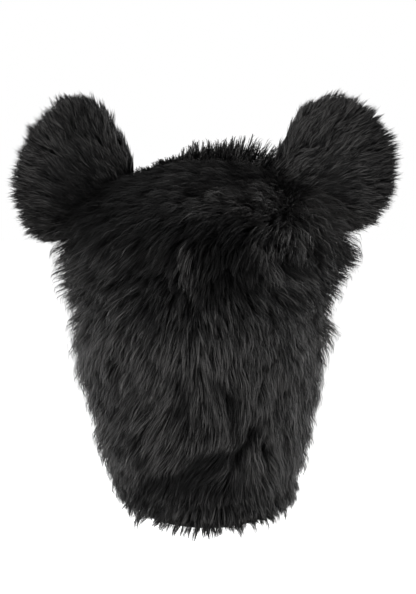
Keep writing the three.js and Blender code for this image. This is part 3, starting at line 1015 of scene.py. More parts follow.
@dataclass(frozen=True)
class Mix:
    """What kinds of strand a pile has, as shares of it, and how they differ from plain ones.

    Under strands are short and dark, guard strands are long, wide and pale, and stray strands
    leave their lock. The other shades and the glints are spreads round a middle shade.
    """

    under: float
    stray: float
    guard: float
    under_reach: Span
    plain_reach: Span
    guard_reach: Span
    tuft_shade: float
    lock_shade: float
    own_shade: float
    lock_glint: float
    own_glint: float = 0.12
    under_shade: float = -0.24
    guard_shade: float = 0.44
    guard_width: float = 1.25
    widths: Span = Span(0.7, 1.15)
    stray_frizz: float = 2.6
    frizz_growth: float = 1.7

    def kinds(self, count: int, rng: np.random.Generator) -> Kinds:
        """Picks a kind and a reach for each strand.

        Args:
            count: How many strands there are.
            rng: The source of chance.

        Returns:
            The kinds and reaches.
        """
        under = rng.random(count) < self.under
        stray = (rng.random(count) < self.stray) & ~under
        guard = (rng.random(count) < self.guard) & ~under
        short, plain = self.under_reach.pick(count, rng), self.plain_reach.pick(count, rng)
        reach = np.where(under, short, plain)
        reach = np.where(guard, self.guard_reach.pick(count, rng), reach)
        return Kinds(under, stray, guard, reach)

    def wisps(
        self, frizz: float, kinds: Kinds, along: np.ndarray, rng: np.random.Generator
    ) -> np.ndarray:
        """How far chance moves each point of each strand, most at the tip.

        Args:
            frizz: The usual distance at a tip, in millimetres.
            kinds: The strands' kinds.
            along: The points' places along a strand, from 0 to 1.
            rng: The source of chance.

        Returns:
            The moves, a row of points to a strand.
        """
        more = np.where(kinds.stray, self.stray_frizz, 1.0)[:, None]
        wild = rng.normal(0.0, frizz, (len(kinds.reach), 3)) * more
        return wild[:, None] * (along**self.frizz_growth)[None, :, None]

    def shades(self, groups: Groups, kinds: Kinds, rng: np.random.Generator) -> np.ndarray:
        """How far each strand's shade is from the middle one.

        Args:
            groups: The strands' locks and tufts.
            kinds: The strands' kinds.
            rng: The source of chance.

        Returns:
            A number for each strand.
        """
        shade = (self.tuft_shade * groups.by_tuft(0.0, 1.0, rng))[groups.lock_of]
        shade = shade + self.lock_shade * groups.by_lock(0.0, 1.0, rng)[groups.lock_of]
        shade = shade + self.own_shade * rng.normal(0.0, 1.0, len(groups.lock_of))
        shade = np.where(kinds.guard, shade + self.guard_shade, shade)
        return np.where(kinds.under, shade + self.under_shade, shade)

    def glints(self, groups: Groups, rings: int, rng: np.random.Generator) -> np.ndarray:
        """How the shade changes along each strand.

        Args:
            groups: The strands' locks and tufts.
            rings: Points to a strand.
            rng: The source of chance.

        Returns:
            A number for each point of each strand.
        """
        glint = self.lock_glint * rng.normal(0.0, 1.0, (groups.locks, rings))[groups.lock_of]
        return glint + self.own_glint * rng.normal(0.0, 1.0, (len(groups.lock_of), rings))

    def wide(self, width: float, kinds: Kinds, rng: np.random.Generator) -> np.ndarray:
        """A width for each strand, in millimetres."""
        wider = np.where(kinds.guard, self.guard_width, 1.0)
        return width * self.widths.pick(len(kinds.reach), rng) * wider


@dataclass
class HoodPile:
    """The pile of one hood panel: strands rooted on the wall and combed into locks and tufts.

    It stands for a CAD node. The crown share is how much closer the strands grow on the crown,
    and split is the height where the back panel's pile is parted in two pieces.
    """

    form: HoodForm
    panel: Panel
    node: str
    cut: Cut
    seed: int
    mix: Mix = Mix(
        under=0.26,
        stray=0.035,
        guard=0.14,
        under_reach=Span(0.35, 0.7),
        plain_reach=Span(0.72, 1.0),
        guard_reach=Span(0.9, 1.0),
        tuft_shade=0.06,
        lock_shade=0.15,
        own_shade=0.22,
        lock_glint=0.11,
    )
    steps: int = 8
    rings: int = 4
    grid_around: int = 96
    grid_rows: int = 80
    crown_share: float = 2.2
    face_margin: float = 1.5
    seam_overlap: float = 2.0
    split: float = -102.0
    lengths: Span = Span(0.82, 1.15)
    fringe: Span = Span(-2.0, 16.0)
    spill: Span = Span(0.0, 15.0)
    spill_right: float = 11.0
    shortest: float = 1.5
    brow_length: float = 26.0
    cheek_shorter: float = 0.32
    head_shorter: float = 0.3
    stray_pull: float = 0.15
    uneven: float = 0.15
    strand_rise: Span = Span(0.72, 1.08)
    under_rise: float = 0.8
    stray_rise: Span = Span(1.0, 1.4)
    guard_rise: float = 1.1
    highest: float = 1.36

    def grows(self, points: np.ndarray) -> np.ndarray:
        """Whether pile of this panel is rooted at some places.

        Args:
            points: Places on the wall.

        Returns:
            A truth value for each.
        """
        form = self.form
        past = form.past_seam(points)
        top = form.hem_at(points[:, 1], form.hem_top)
        bottom = form.hem_at(points[:, 1], form.hem_bottom)
        open_front = form.in_face(points, self.face_margin)
        if self.panel is Panel.NECK_HEM:
            return (points[:, 2] < top) & (points[:, 2] > bottom) & ~open_front
        above = points[:, 2] > top
        if self.panel is Panel.FACE_BAND:
            return above & (past > -self.seam_overlap) & ~open_front
        split = self.split + 6.0 * np.sin(points[:, 0] * 0.21)
        upper = points[:, 2] > split
        part = upper if self.panel is Panel.BACK_UPPER else ~upper
        return above & (past < self.seam_overlap) & part

    def lock_length(self, roots: np.ndarray, rng: np.random.Generator) -> np.ndarray:
        """A length for each lock, shorter where it would reach over the hem or the face.

        Args:
            roots: Where the locks are rooted.
            rng: The source of chance.

        Returns:
            The lengths, in millimetres.
        """
        form = self.form
        length = self.cut.length * self.lengths.pick(len(roots), rng)
        if self.panel is Panel.NECK_HEM:
            over = roots[:, 2] - form.hem_at(roots[:, 1], form.hem_bottom)
            fringe = self.fringe.pick(len(roots), rng)
            return np.maximum(np.minimum(length, fringe + 0.85 * over), self.shortest)
        x, y, z = roots.T
        crown = (z > -30.0) & (form.past_seam(roots) > 0.0)
        mound = ease(x, 22.0, 44.0)
        length = np.where(crown, length * (0.5 + 0.5 * mound), length)
        cheek = ease(np.abs(x), 52.0, 78.0) * ease(z, -125.0, -95.0)
        length = length * (1.0 - self.cheek_shorter * cheek)
        above = z - form.hem_at(y, form.hem_top)
        length = length * (1.0 - self.head_shorter * ease(z, -125.0, -62.0))
        spill = self.spill.pick(len(roots), rng) + self.spill_right * ease(x, 22.0, 42.0)
        length = np.minimum(length, spill + 0.95 * above)
        brow = (y > 30.0) & (z > -62.0)
        return np.where(brow, np.minimum(length, self.brow_length), length)

    def flow(
        self, roots: np.ndarray, turn: np.ndarray, bend: np.ndarray, length: np.ndarray
    ) -> np.ndarray:
        """Walks over the wall along the nap.

        Args:
            roots: Where each walk starts.
            turn: How far each is turned off the nap, in radians.
            bend: How much each turns further on its way.
            length: How long each is.

        Returns:
            Places on the wall, a row of steps + 1 of them to a walk.
        """
        place, out = self.form.on_wall(roots)
        path = [place]
        drift = turn + self.cut.drift * self.form.sway(place)
        first = self.form.nap(place, out)[0]
        for step in range(self.steps):
            heading = 0.6 * first + 0.4 * self.form.nap(place, out)[0]
            heading = unit(heading - out * np.sum(heading * out, axis=1, keepdims=True))
            heading = turned(heading, out, drift + bend * (step / self.steps - 0.3))
            place, out = self.form.on_wall(place + heading * (length / self.steps)[:, None])
            path.append(place)
        return np.stack(path, axis=1)

    def rooted(self, rng: np.random.Generator) -> np.ndarray:
        """Scatters the strands' roots over the panel, closer together on the crown.

        Args:
            rng: The source of chance.

        Returns:
            Places on the wall.
        """
        form, strands = self.form, self.cut.strands
        grid = form.grid(self.grid_around, self.grid_rows)
        found: list[np.ndarray] = []
        while sum(len(part) for part in found) < strands:
            points = form.on_wall(scatter(grid, strands * 2, rng))[0]
            points = points[self.grows(points)]
            crowd = 1.0 + (self.crown_share - 1.0) * ease(points[:, 2], -75.0, -30.0)
            found.append(points[rng.random(len(points)) * self.crown_share < crowd])
        return np.concatenate(found)[:strands]

    def combed(
        self, locks: np.ndarray, tufts: np.ndarray, groups: Groups, rng: np.random.Generator
    ) -> np.ndarray:
        """Walks the locks along the nap and draws them towards their tufts.

        Args:
            locks: The locks' roots.
            tufts: The tufts' roots.
            groups: The strands' locks and tufts.
            rng: The source of chance.

        Returns:
            The locks' paths over the wall.
        """
        cut, form, tuft_of = self.cut, self.form, groups.tuft_of
        mess = form.nap(tufts, form.on_wall(tufts)[1])[2]
        tuft_turn = rng.normal(0.0, 1.0, groups.tufts) * (cut.turn + 0.6 * mess)
        tuft_bend = rng.normal(0.0, cut.bend, groups.tufts)
        tuft_length = self.lock_length(tufts, rng)
        tuft_path = self.flow(tufts, tuft_turn, tuft_bend, tuft_length)
        turn = tuft_turn[tuft_of] + groups.by_lock(0.0, cut.turn * 0.8, rng)
        bend = tuft_bend[tuft_of] + groups.by_lock(0.0, cut.bend, rng)
        length = self.lock_length(locks, rng)
        length = length + (tuft_length[tuft_of] - length) * cut.follow
        path = self.flow(locks, turn, bend, length)
        share = cut.tuft_pull * (np.arange(self.steps + 1) / self.steps) ** 1.6
        return path + (tuft_path[tuft_of] - path) * share[None, :, None]

    def heights(
        self, lift: np.ndarray, groups: Groups, kinds: Kinds, rng: np.random.Generator
    ) -> np.ndarray:
        """How high each strand stands, as a part of the pile's depth.

        Args:
            lift: How much more the nap lifts each lock.
            groups: The strands' locks and tufts.
            kinds: The strands' kinds.
            rng: The source of chance.

        Returns:
            A number for each strand.
        """
        count = len(kinds.reach)
        high = groups.by_tuft(1.0, self.uneven, rng) * groups.by_lock(1.0, self.uneven, rng) * lift
        high = high[groups.lock_of] * self.strand_rise.pick(count, rng)
        high = np.where(kinds.under, high * self.under_rise, high)
        high = np.where(kinds.stray, high * self.stray_rise.pick(count, rng), high)
        return np.minimum(np.where(kinds.guard, high * self.guard_rise, high), self.highest)

    def grow(self, rng: np.random.Generator) -> Strands:
        """Roots, combs and lifts the strands.

        Args:
            rng: The source of chance.

        Returns:
            The strands' curves, in millimetres.
        """
        cut, form, rings = self.cut, self.form, self.rings
        roots = self.rooted(rng)
        locks = roots[spaced(roots, cut.lock_gap)]
        tufts = roots[spaced(roots, cut.tuft_gap)]
        groups = Groups(nearest(roots, locks), nearest(locks, tufts), len(locks), len(tufts))
        path = self.combed(locks, tufts, groups, rng)[groups.lock_of]

        count = len(roots)
        kinds = self.mix.kinds(count, rng)
        t = np.arange(rings) / (rings - 1)
        along = kinds.reach[:, None] * t[None]
        at = along * self.steps
        low = np.minimum(at.astype(int), self.steps - 1)
        part = (at - low)[:, :, None]
        pick = np.arange(count)[:, None]
        on_lock = path[pick, low] * (1.0 - part) + path[pick, low + 1] * part
        pull = np.where(kinds.stray, self.stray_pull, cut.lock_pull)[:, None] * along**1.1
        place = on_lock + (roots - locks[groups.lock_of])[:, None] * (1.0 - pull[:, :, None])
        place = place + self.mix.wisps(cut.frizz, kinds, t, rng)

        flat, outs = form.on_wall(place.reshape(-1, 3))
        depth = form.pile_depth(flat).reshape(count, rings)
        lift = form.nap(locks, form.on_wall(locks)[1])[1]
        high = self.heights(lift, groups, kinds, rng)
        stand = 1.0 - (1.0 - along) ** cut.stand
        height = depth * cut.rise * high[:, None] * stand
        base = form.hem_roll if self.panel is Panel.NECK_HEM else 0.0
        outs = outs.reshape(count, rings, 3)
        points = flat.reshape(count, rings, 3) + outs * (height + base)[:, :, None]

        shade = self.mix.shades(groups, kinds, rng)
        shade = shade[:, None] + self.mix.glints(groups, rings, rng)
        shade = form.shaded(flat, (0.5 + cut.vary * shade).ravel()).reshape(count, rings)
        return Strands(points, outs, self.mix.wide(cut.width, kinds, rng), shade)

    def build(self) -> bpy.types.Object:
        """Grows the pile and makes it one mesh."""
        rng = np.random.default_rng(self.seed)
        return Ribbon().mesh(self.panel.value, self.grow(rng), rng)

    def dress(self, piece: bpy.types.Object, material: bpy.types.Material) -> None:
        """Gives the pile its finish, and hides the solid that it stands for."""
        give_finish(piece, material)
        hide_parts(self.node)


@dataclass
class PaddedEar:
    """One ear: a padded form in fabric, and the pile that fans over its faces and rim."""

    form: EarForm
    hood: HoodForm
    cut: Cut
    seed: int
    mix: Mix = Mix(
        under=0.25,
        stray=0.07,
        guard=0.14,
        under_reach=Span(0.4, 0.7),
        plain_reach=Span(0.75, 1.02),
        guard_reach=Span(0.96, 1.08),
        tuft_shade=0.07,
        lock_shade=0.17,
        own_shade=0.24,
        lock_glint=0.12,
    )
    rings: int = 4
    grid_around: int = 72
    grid_rows: int = 48
    spare: float = 1.6
    seat: float = 0.9
    seam_depth: float = 1.2
    seam_width: float = 0.09
    faces_apart: float = 8.0
    rim_lay: float = 0.35
    droop: float = -0.08
    tuft_ragged: float = 2.7
    lock_ragged: float = 1.2
    own_ragged: float = 0.8
    shortest: float = 5.0
    stray_pull: float = 0.1

    def name(self) -> str:
        """The CAD node that this ear stands for."""
        return f"ear_{self.form.side.name.lower()}"

    def pad(self) -> bpy.types.Object:
        """The padded form, seated on the hood, with a seam round its rim.

        Returns:
            The pad's object.
        """
        shape = bmesh.new()
        bmesh.ops.create_uvsphere(shape, u_segments=72, v_segments=36, radius=1.0)
        rest = np.array([v.co[:] for v in shape.verts])
        angle = np.arctan2(rest[:, 1], rest[:, 0])
        polar = np.arccos(np.clip(-rest[:, 2], -1.0, 1.0))
        rim = np.exp(-(((polar - math.pi / 2) / self.seam_width) ** 2))
        moved = self.form.point(angle, polar)
        middle = np.array([self.form.x, self.form.y, self.form.z])
        moved = moved - unit(moved - middle) * (self.seam_depth * rim)[:, None]
        inside = self.hood.depth_in(moved) < 1.012
        seat, out = self.hood.on_wall(moved)
        moved = np.where(inside[:, None], seat + out * self.seat, moved)
        for vertex, place in zip(shape.verts, moved * MM):
            vertex.co = Vector(place)
        bmesh.ops.recalc_face_normals(shape, faces=shape.faces)
        mesh = bpy.data.meshes.new(f"{self.name()}_pad")
        shape.to_mesh(mesh)
        shape.free()
        mesh.shade_smooth()
        return placed(f"{self.name()}_pad", mesh)

    def sizes(self, room: np.ndarray, groups: Groups, rng: np.random.Generator) -> np.ndarray:
        """A length for each strand, with an uneven outline.

        Args:
            room: How far it is from each root to the ear's outline.
            groups: The strands' locks and tufts.
            rng: The source of chance.

        Returns:
            The lengths, in millimetres.
        """
        vary = groups.by_tuft(1.0, 0.1, rng) * groups.by_lock(1.0, 0.08, rng)
        size = self.cut.length * vary[groups.lock_of]
        ragged = groups.by_tuft(0.0, self.tuft_ragged, rng)
        ragged = (ragged + groups.by_lock(0.0, self.lock_ragged, rng))[groups.lock_of]
        ragged = ragged + rng.normal(0.3, self.own_ragged, len(room))
        return np.minimum(size, np.maximum(room * 1.08 + ragged, self.shortest))

    def pile(self) -> bpy.types.Object:
        """The ear's pile, fanning out from the head.

        Returns:
            The pile's object.
        """
        rng = np.random.default_rng(self.seed)
        cut, form, mix = self.cut, self.form, self.mix
        grid = form.grid(self.grid_around, self.grid_rows)
        roots = scatter(grid, int(cut.strands * self.spare), rng)
        roots = roots[self.hood.depth_in(roots) > 1.03][: cut.strands]
        outs = form.outward(roots)
        lock_at = spaced(roots, cut.lock_gap)
        tuft_at = spaced(roots, cut.tuft_gap)
        apart = roots + outs * self.faces_apart
        lock_of = nearest(apart, apart[lock_at])
        tuft_of = nearest(apart[lock_at], apart[tuft_at])
        groups = Groups(lock_of, tuft_of, len(lock_at), len(tuft_at))

        turn = groups.by_tuft(0.0, cut.turn, rng) + groups.by_lock(0.0, cut.turn, rng)
        fan = turned(form.heading(roots, outs), outs, turn[lock_of])
        stand = outs * np.array([self.rim_lay, 1.0, self.rim_lay])
        start = unit(fan * 0.7 + stand * 0.75)
        end = unit(fan * 0.98 + stand * 0.1 + np.array([0.0, 0.0, self.droop]))
        size = self.sizes(form.room(roots, fan), groups, rng)

        kinds = mix.kinds(len(roots), rng)
        t = np.arange(self.rings) / (self.rings - 1)
        s = (kinds.reach[:, None] * t[None])[:, :, None]

        def arcs(root: np.ndarray, length: np.ndarray) -> np.ndarray:
            """Points on each strand's arc, if it grew at the given root with the given length."""
            way = start[root][:, None] * s + (end - start)[root][:, None] * (0.5 * s**2)
            return roots[root][:, None] + way * size[length][:, None, None]

        own = np.arange(len(roots))
        lock = lock_at[lock_of]
        points = arcs(own, own)
        lead = arcs(lock, lock)
        guide = arcs(tuft_at[tuft_of][lock_of], lock)
        gather = (0.55 + 0.45 * ease(np.abs(outs[:, 1]), 0.95, 0.6))[:, None, None]
        lead = lead + (guide - lead) * (cut.tuft_pull * s**1.6) * gather
        pull = np.where(kinds.stray, self.stray_pull, cut.lock_pull)[:, None, None]
        points = points + (lead - points) * (pull * s**1.2 * gather)
        points = points + mix.wisps(cut.frizz, kinds, t, rng)

        shade = 0.5 + cut.vary * mix.shades(groups, kinds, rng)
        width = mix.wide(cut.width, kinds, rng)
        shade = form.shaded(roots, shade[:, None] + mix.glints(groups, self.rings, rng))
        held = np.repeat(outs[:, None], self.rings, axis=1)
        return Ribbon().mesh(f"{self.name()}_pile", Strands(points, held, width, shade), rng)

    def dress_pad(self, pad: bpy.types.Object, material: bpy.types.Material) -> None:
        """Gives the pad its finish, and hides the ear's solid."""
        give_finish(pad, material)
        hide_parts(self.name())

    def dress_pile(self, strands: bpy.types.Object, material: bpy.types.Material) -> None:
        """Gives the ear's pile its finish."""
        give_finish(strands, material)
        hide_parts(self.name())


class Tree:
    """A small helper that lays out the nodes of one tree."""

    def __init__(self, tree: bpy.types.NodeTree) -> None:
        """Keeps the tree and empties it.

        Args:
            tree: The tree that the nodes go in.
        """
        self.tree = tree
        self.tree.nodes.clear()
        self.made = 0

    def node(
        self, kind: str, values: dict[str, object] | None = None, **settings: object
    ) -> bpy.types.Node:
        """Adds a node.

        Args:
            kind: The node's type.
            values: Its inputs' values by name.
            **settings: Its properties.

        Returns:
            The node.
        """
        made = self.tree.nodes.new(kind)
        made.location = (220 * (self.made % 6), -260 * (self.made // 6))
        self.made += 1
        for key, value in settings.items():
            setattr(made, key, value)
        for key, value in (values or {}).items():
            made.inputs[key].default_value = value
        return made

    def join(self, source: bpy.types.NodeSocket, target: bpy.types.NodeSocket) -> None:
        """Links an output to an input."""
        self.tree.links.new(source, target)

    def maths(self, kind: str, first: object, second: object) -> bpy.types.NodeSocket:
        """A Math node on two values.

        Args:
            kind: The operation.
            first: A number or a socket.
            second: A number or a socket.

        Returns:
            The result's socket.
        """
        made = self.node("ShaderNodeMath", operation=kind)
        for socket, value in zip(made.inputs, (first, second)):
            if isinstance(value, (int, float)):
                socket.default_value = value
            else:
                self.join(value, socket)
        return made.outputs[0]


def new_material(name: str) -> tuple[bpy.types.Material, Tree, bpy.types.Node]:
    """Makes a material with one shader.

    Args:
        name: The material's name.

    Returns:
        The material, its tree and its shader.
    """
    made = bpy.data.materials.new(name)
    made.use_nodes = True
    tree = Tree(made.node_tree)
    out = tree.node("ShaderNodeOutputMaterial")
    shader = tree.node("ShaderNodeBsdfPrincipled")
    tree.join(shader.outputs["BSDF"], out.inputs["Surface"])
    return made, tree, shader


@dataclass(frozen=True)
class Tone:
    """A linear colour."""

    red: float
    green: float
    blue: float

    def rgba(self) -> tuple[float, float, float, float]:
        """The colour with full alpha."""
        return (self.red, self.green, self.blue, 1.0)


@dataclass(frozen=True)
class PileFinish:
    """Black pile: each strand has its own shade, is darkest at its root, and has a painted glow of
    light at its paler tip.
    """

    deep: Tone = Tone(0.0024, 0.0024, 0.0025)
    middle: Tone = Tone(0.0122, 0.0120, 0.0122)
    # The palest end of the ramp is partly the strands' own paler tone and partly painted sheen.
    worn_and_sheen: Tone = Tone(0.0850, 0.0828, 0.0815)
    # The tip colour is a painted glow of light through the thin tips.
    tip: Tone = Tone(0.0520, 0.0492, 0.0475)
    middle_at: float = 0.55
    root_shade: float = 0.35
    root_length: float = 0.45
    tip_from: float = 0.62
    tip_share: float = 0.6
    roughness: float = 0.4
    shine: float = 0.15

    def material(self) -> bpy.types.Material:
        """Makes the material.

        Returns:
            The material, which reads a strand's shade across its map and its length up it.
        """
        made, tree, shader = new_material("black_pile")
        place = tree.node("ShaderNodeUVMap", uv_map=SHADE_MAP)
        split = tree.node("ShaderNodeSeparateXYZ")
        tree.join(place.outputs["UV"], split.inputs["Vector"])
        bands = tree.maths("MULTIPLY", split.outputs["Y"], float(MAP_BANDS))
        along = tree.maths("FRACT", bands, 0.0)
        shade = tree.node("ShaderNodeValToRGB")
        shade.color_ramp.elements[0].color = self.deep.rgba()
        shade.color_ramp.elements[1].color = self.worn_and_sheen.rgba()
        shade.color_ramp.elements.new(self.middle_at).color = self.middle.rgba()
        tree.join(split.outputs["X"], shade.inputs["Fac"])
        darkening = {"From Max": self.root_length, "To Min": self.root_shade}
        root = tree.node("ShaderNodeMapRange", darkening)
        tree.join(along, root.inputs["Value"])
        dark = tree.node("ShaderNodeMix", {"Factor": 1.0}, data_type="RGBA", blend_type="MULTIPLY")
        tree.join(shade.outputs["Color"], dark.inputs["A"])
        tree.join(root.outputs["Result"], dark.inputs["B"])
        # Paler tips: painted glow of light through the thin tips.
        far = tree.node("ShaderNodeMapRange", {"From Min": self.tip_from, "To Max": self.tip_share})
        tree.join(along, far.inputs["Value"])
        final = tree.node("ShaderNodeMix", {"B": self.tip.rgba()}, data_type="RGBA")
        paler = tree.maths("MULTIPLY", far.outputs["Result"], split.outputs["X"])
        tree.join(paler, final.inputs["Factor"])
        tree.join(dark.outputs["Result"], final.inputs["A"])
        tree.join(final.outputs["Result"], shader.inputs["Base Color"])
        shader.inputs["Roughness"].default_value = self.roughness
        shader.inputs["Specular IOR Level"].default_value = self.shine
        return made


@dataclass(frozen=True)
class KnitFinish:
    """The pile's knitted backing, seen inside the hood and at its edges."""

    name: str = "knitted_backing"
    thread: Tone = Tone(0.012, 0.012, 0.013)
    gap: Tone = Tone(0.004, 0.004, 0.0045)
    stitch: float = 900.0
    course: float = 90.0
    wobble: float = 3.0
    blotch: float = 35.0
    blotch_share: float = 0.35
    roughness: float = 0.88
    sheen: float = 0.1
    height: float = 0.00025
    relief: float = 0.6

    def material(self) -> bpy.types.Material:
        """Makes the material.

        Returns:
            The material, with stitches in courses and wales as a pattern on the object.
        """
        made, tree, shader = new_material(self.name)
        place = tree.node("ShaderNodeTexCoord")
        wave = {"Scale": self.course, "Distortion": self.wobble, "Detail": 2.0, "Detail Scale": 6.0}
        courses = tree.node("ShaderNodeTexWave", wave, wave_type="BANDS", bands_direction="Z")
        wales = tree.node("ShaderNodeTexVoronoi", {"Scale": self.stitch}, feature="SMOOTH_F1")
        cloth = tree.node("ShaderNodeTexNoise", {"Scale": self.blotch, "Detail": 4.0})
        for pattern in (courses, wales, cloth):
            tree.join(place.outputs["Object"], pattern.inputs["Vector"])
        loops = tree.maths("MULTIPLY", courses.outputs["Fac"], wales.outputs["Distance"])
        blotches = tree.maths("MULTIPLY", cloth.outputs["Fac"], self.blotch_share)
        mask = tree.maths("ADD", loops, blotches)
        colours = {"A": self.gap.rgba(), "B": self.thread.rgba()}
        blend = tree.node("ShaderNodeMix", colours, data_type="RGBA")
        tree.join(mask, blend.inputs["Factor"])
        tree.join(blend.outputs["Result"], shader.inputs["Base Color"])
        bump = tree.node("ShaderNodeBump", {"Strength": self.relief, "Distance": self.height})
        tree.join(loops, bump.inputs["Height"])
        tree.join(bump.outputs["Normal"], shader.inputs["Normal"])
        shader.inputs["Roughness"].default_value = self.roughness
        shader.inputs["Sheen Weight"].default_value = self.sheen
        return made


@dataclass(frozen=True)
class Lamp:
    """A square soft lamp: its place and side in metres, and its power in watts."""

    name: str
    place: tuple[float, float, float]
    size: float
    power: float


@dataclass
class Studio:
    """A pale floor under a white surround, soft lamps, and the camera of the photograph."""

    aim: tuple[float, float, float] = (0.0022, 0.0, -0.0907)
    distance: float = 1.19
    lens: float = 100.0
    elevation: float = 5.5
    floor_level: float = -0.42
    floor_radius: float = 6.0
    floor_glow: float = 0.95
    surround: float = 0.12
    lamps: tuple[Lamp, ...] = (
        Lamp("key_lamp", (-1.0, -1.5, 0.25), 0.7, 24.0),
        Lamp("fill_lamp", (1.3, -1.2, 0.1), 0.7, 16.0),
        Lamp("top_lamp", (0.1, 0.2, 1.5), 0.9, 9.0),
        Lamp("rim_left", (-1.3, 0.8, -0.05), 0.8, 19.0),
        Lamp("rim_right", (1.3, 0.8, -0.05), 0.8, 19.0),
    )

    def light(self, lamp: Lamp) -> None:
        """Hangs a lamp so that it faces the hat.

        Args:
            lamp: The lamp.
        """
        data = bpy.data.lights.new(lamp.name, "AREA")
        data.shape = "SQUARE"
        data.size = lamp.size
        data.energy = lamp.power
        made = placed(lamp.name, data)
        made.location = lamp.place
        towards = Vector(self.aim) - Vector(lamp.place)
        made.rotation_euler = towards.to_track_quat("-Z", "Y").to_euler()

    def floor(self) -> None:
        """Adds the floor, pale and without marks."""
        shape = bmesh.new()
        bmesh.ops.create_circle(shape, cap_ends=True, segments=96, radius=self.floor_radius)
        bmesh.ops.translate(shape, verts=shape.verts, vec=(0.0, 0.0, self.floor_level))
        mesh = bpy.data.meshes.new("floor")
        shape.to_mesh(mesh)
        shape.free()
        made = placed("floor", mesh)
        pale, tree, shader = new_material("pale_floor")
        shader.inputs["Base Color"].default_value = (0.82, 0.82, 0.82, 1.0)
        shader.inputs["Roughness"].default_value = 0.9
        shader.inputs["Emission Color"].default_value = (1.0, 1.0, 1.0, 1.0)
        path = tree.node("ShaderNodeLightPath")
        glow = tree.maths("MULTIPLY", path.outputs["Is Camera Ray"], self.floor_glow)
        tree.join(glow, shader.inputs["Emission Strength"])
        mesh.materials.append(pale)

    def world(self) -> None:
        """Surrounds the hat with white."""
        made = bpy.data.worlds.new("white_surround")
        made.use_nodes = True
        tree = Tree(made.node_tree)
        out = tree.node("ShaderNodeOutputWorld")
        back = tree.node("ShaderNodeBackground")
        path = tree.node("ShaderNodeLightPath")
        seen = tree.maths("MULTIPLY", path.outputs["Is Camera Ray"], 1.0 - self.surround)
        tree.join(tree.maths("ADD", seen, self.surround), back.inputs["Strength"])
        back.inputs["Color"].default_value = (1.0, 1.0, 1.0, 1.0)
        tree.join(back.outputs["Background"], out.inputs["Surface"])
        bpy.context.scene.world = made

    def camera(self) -> None:
        """Adds the camera, level with the back of the head and a little above."""
        data = bpy.data.cameras.new("camera")
        data.lens = self.lens
        data.sensor_width = 36.0
        made = placed("camera", data)
        tilt = math.radians(self.elevation)
        away = Vector((0.0, -math.cos(tilt), math.sin(tilt))) * self.distance
        made.location = Vector(self.aim) + away
        made.rotation_euler = (-away).to_track_quat("-Z", "Y").to_euler()
        bpy.context.scene.camera = made

    def build(self) -> None:
        """Sets up the studio."""
        self.world()
        self.floor()
        for lamp in self.lamps:
            self.light(lamp)
        self.camera()
        bpy.context.scene.view_settings.view_transform = "Standard"


def give_finish(piece: bpy.types.Object, material: bpy.types.Material) -> None:
    """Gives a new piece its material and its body.

    Args:
        piece: The piece.
        material: Its material.
    """
    piece.data.materials.clear()
    piece.data.materials.append(material)
    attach(piece, "root")


@dataclass
class FabricWalls:
    """The hood's walls and hem: CAD solids that show the pile's knitted backing."""

    names: tuple[str, ...] = ("crown_back", "face_band", "neck_hem")

    def dress(self, nodes: dict[str, bpy.types.Object], material: bpy.types.Material) -> None:
        """Gives the walls their material.

        Args:
            nodes: The CAD nodes by name.
            material: The material.
        """
        for name in self.names:
            for slot in nodes[name].material_slots:
                slot.material = material


def report(piece: bpy.types.Object) -> None:
    """Logs a piece's size in triangles."""
    faces = sum(polygon.loop_total - 2 for polygon in piece.data.polygons)
    LOG.info("%s: %d triangles", piece.name, faces)


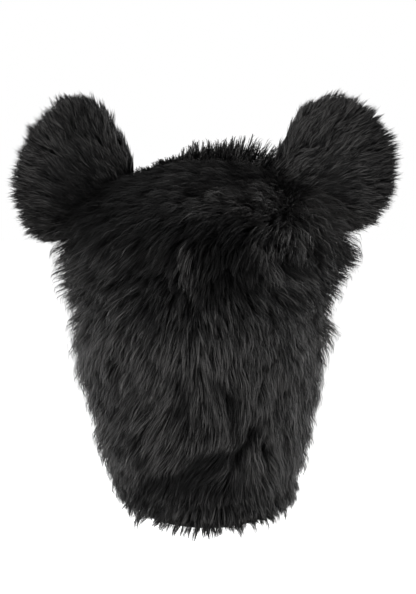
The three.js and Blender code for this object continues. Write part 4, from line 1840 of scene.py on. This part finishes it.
def main() -> None:
    """Builds the pieces in order, dresses them and sets up the studio."""
    logging.basicConfig(level=logging.INFO, format="%(message)s")
    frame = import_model()
    Studio().build()

    pile = PileFinish().material()
    knit = KnitFinish().material()
    FabricWalls().dress(frame["nodes"], knit)

    hood = HoodForm()
    upper = Cut(
        strands=39200,
        length=24,
        width=0.42,
        lock_gap=1.05,
        tuft_gap=6,
        turn=0.1,
        drift=0.14,
        bend=0.04,
        rise=0.93,
        lock_pull=0.55,
        frizz=0.3,
        vary=0.62,
    )
    lower = replace(upper, length=23, turn=0.07, drift=0.09, bend=0.03, follow=0.75, vary=1.0)
    band = Cut(strands=36000, length=28, width=0.5, lock_gap=2.0, tuft_gap=7, rise=0.88, frizz=0.5)
    hem = Cut(
        strands=12500,
        length=18,
        width=0.38,
        lock_gap=1.5,
        tuft_gap=3.9,
        lock_pull=0.7,
        tuft_pull=0.66,
        frizz=0.25,
        follow=0.9,
        vary=0.62,
    )
    piles = (
        HoodPile(hood, Panel.BACK_UPPER, "fur_back", upper, seed=11),
        HoodPile(hood, Panel.BACK_LOWER, "fur_back", lower, seed=12),
        HoodPile(hood, Panel.FACE_BAND, "fur_face_band", band, seed=13),
        HoodPile(hood, Panel.NECK_HEM, "fur_neck_hem", hem, seed=14),
    )
    for panel_pile in piles:
        piece = panel_pile.build()
        panel_pile.dress(piece, pile)
        report(piece)

    ear_cut = Cut(
        strands=34000,
        length=15.5,
        width=0.41,
        lock_gap=1.1,
        tuft_gap=4.6,
        turn=0.2,
        lock_pull=0.6,
        tuft_pull=0.7,
        frizz=0.42,
        vary=1.1,
    )
    left = EarForm(
        Side.LEFT,
        x=-97.5,
        z=2.5,
        wide=35.7,
        tall=53.2,
        lean=25,
        flat_angle=34,
        flat_reach=45,
        comb_x=-20,
        comb_z=-62,
        # Painted shade in the ear's middle and its upper inner part.
        patches=(
            Patch(-84, -14, 26, 0.0, -0.62),
            Patch(-86, 24, 17, 0.0, -0.28),
            Patch(-74, 34, 15, 0.0, -0.2),
        ),
    )
    right = EarForm(
        Side.RIGHT,
        x=96,
        z=6,
        wide=40.3,
        tall=47.8,
        lean=19,
        flat_angle=150,
        flat_reach=46,
        comb_x=8,
        comb_z=-42,
        # Painted shade at the ear's base and outer side, and a painted highlight on its upper inner
        # edge.
        patches=(
            Patch(84, -12, 15, 0.0, -0.5),
            Patch(114, 26, 17, 0.0, -0.34, run_x=6, run_z=-34),
            Patch(62, 26, 10, 0.0, 0.2, run_x=14, run_z=24),
        ),
    )
    for ear in (PaddedEar(left, hood, ear_cut, seed=21), PaddedEar(right, hood, ear_cut, seed=22)):
        pad = ear.pad()
        ear.dress_pad(pad, knit)
        report(pad)
        strands = ear.pile()
        ear.dress_pile(strands, pile)
        report(strands)


if __name__ == "__main__":
    main()
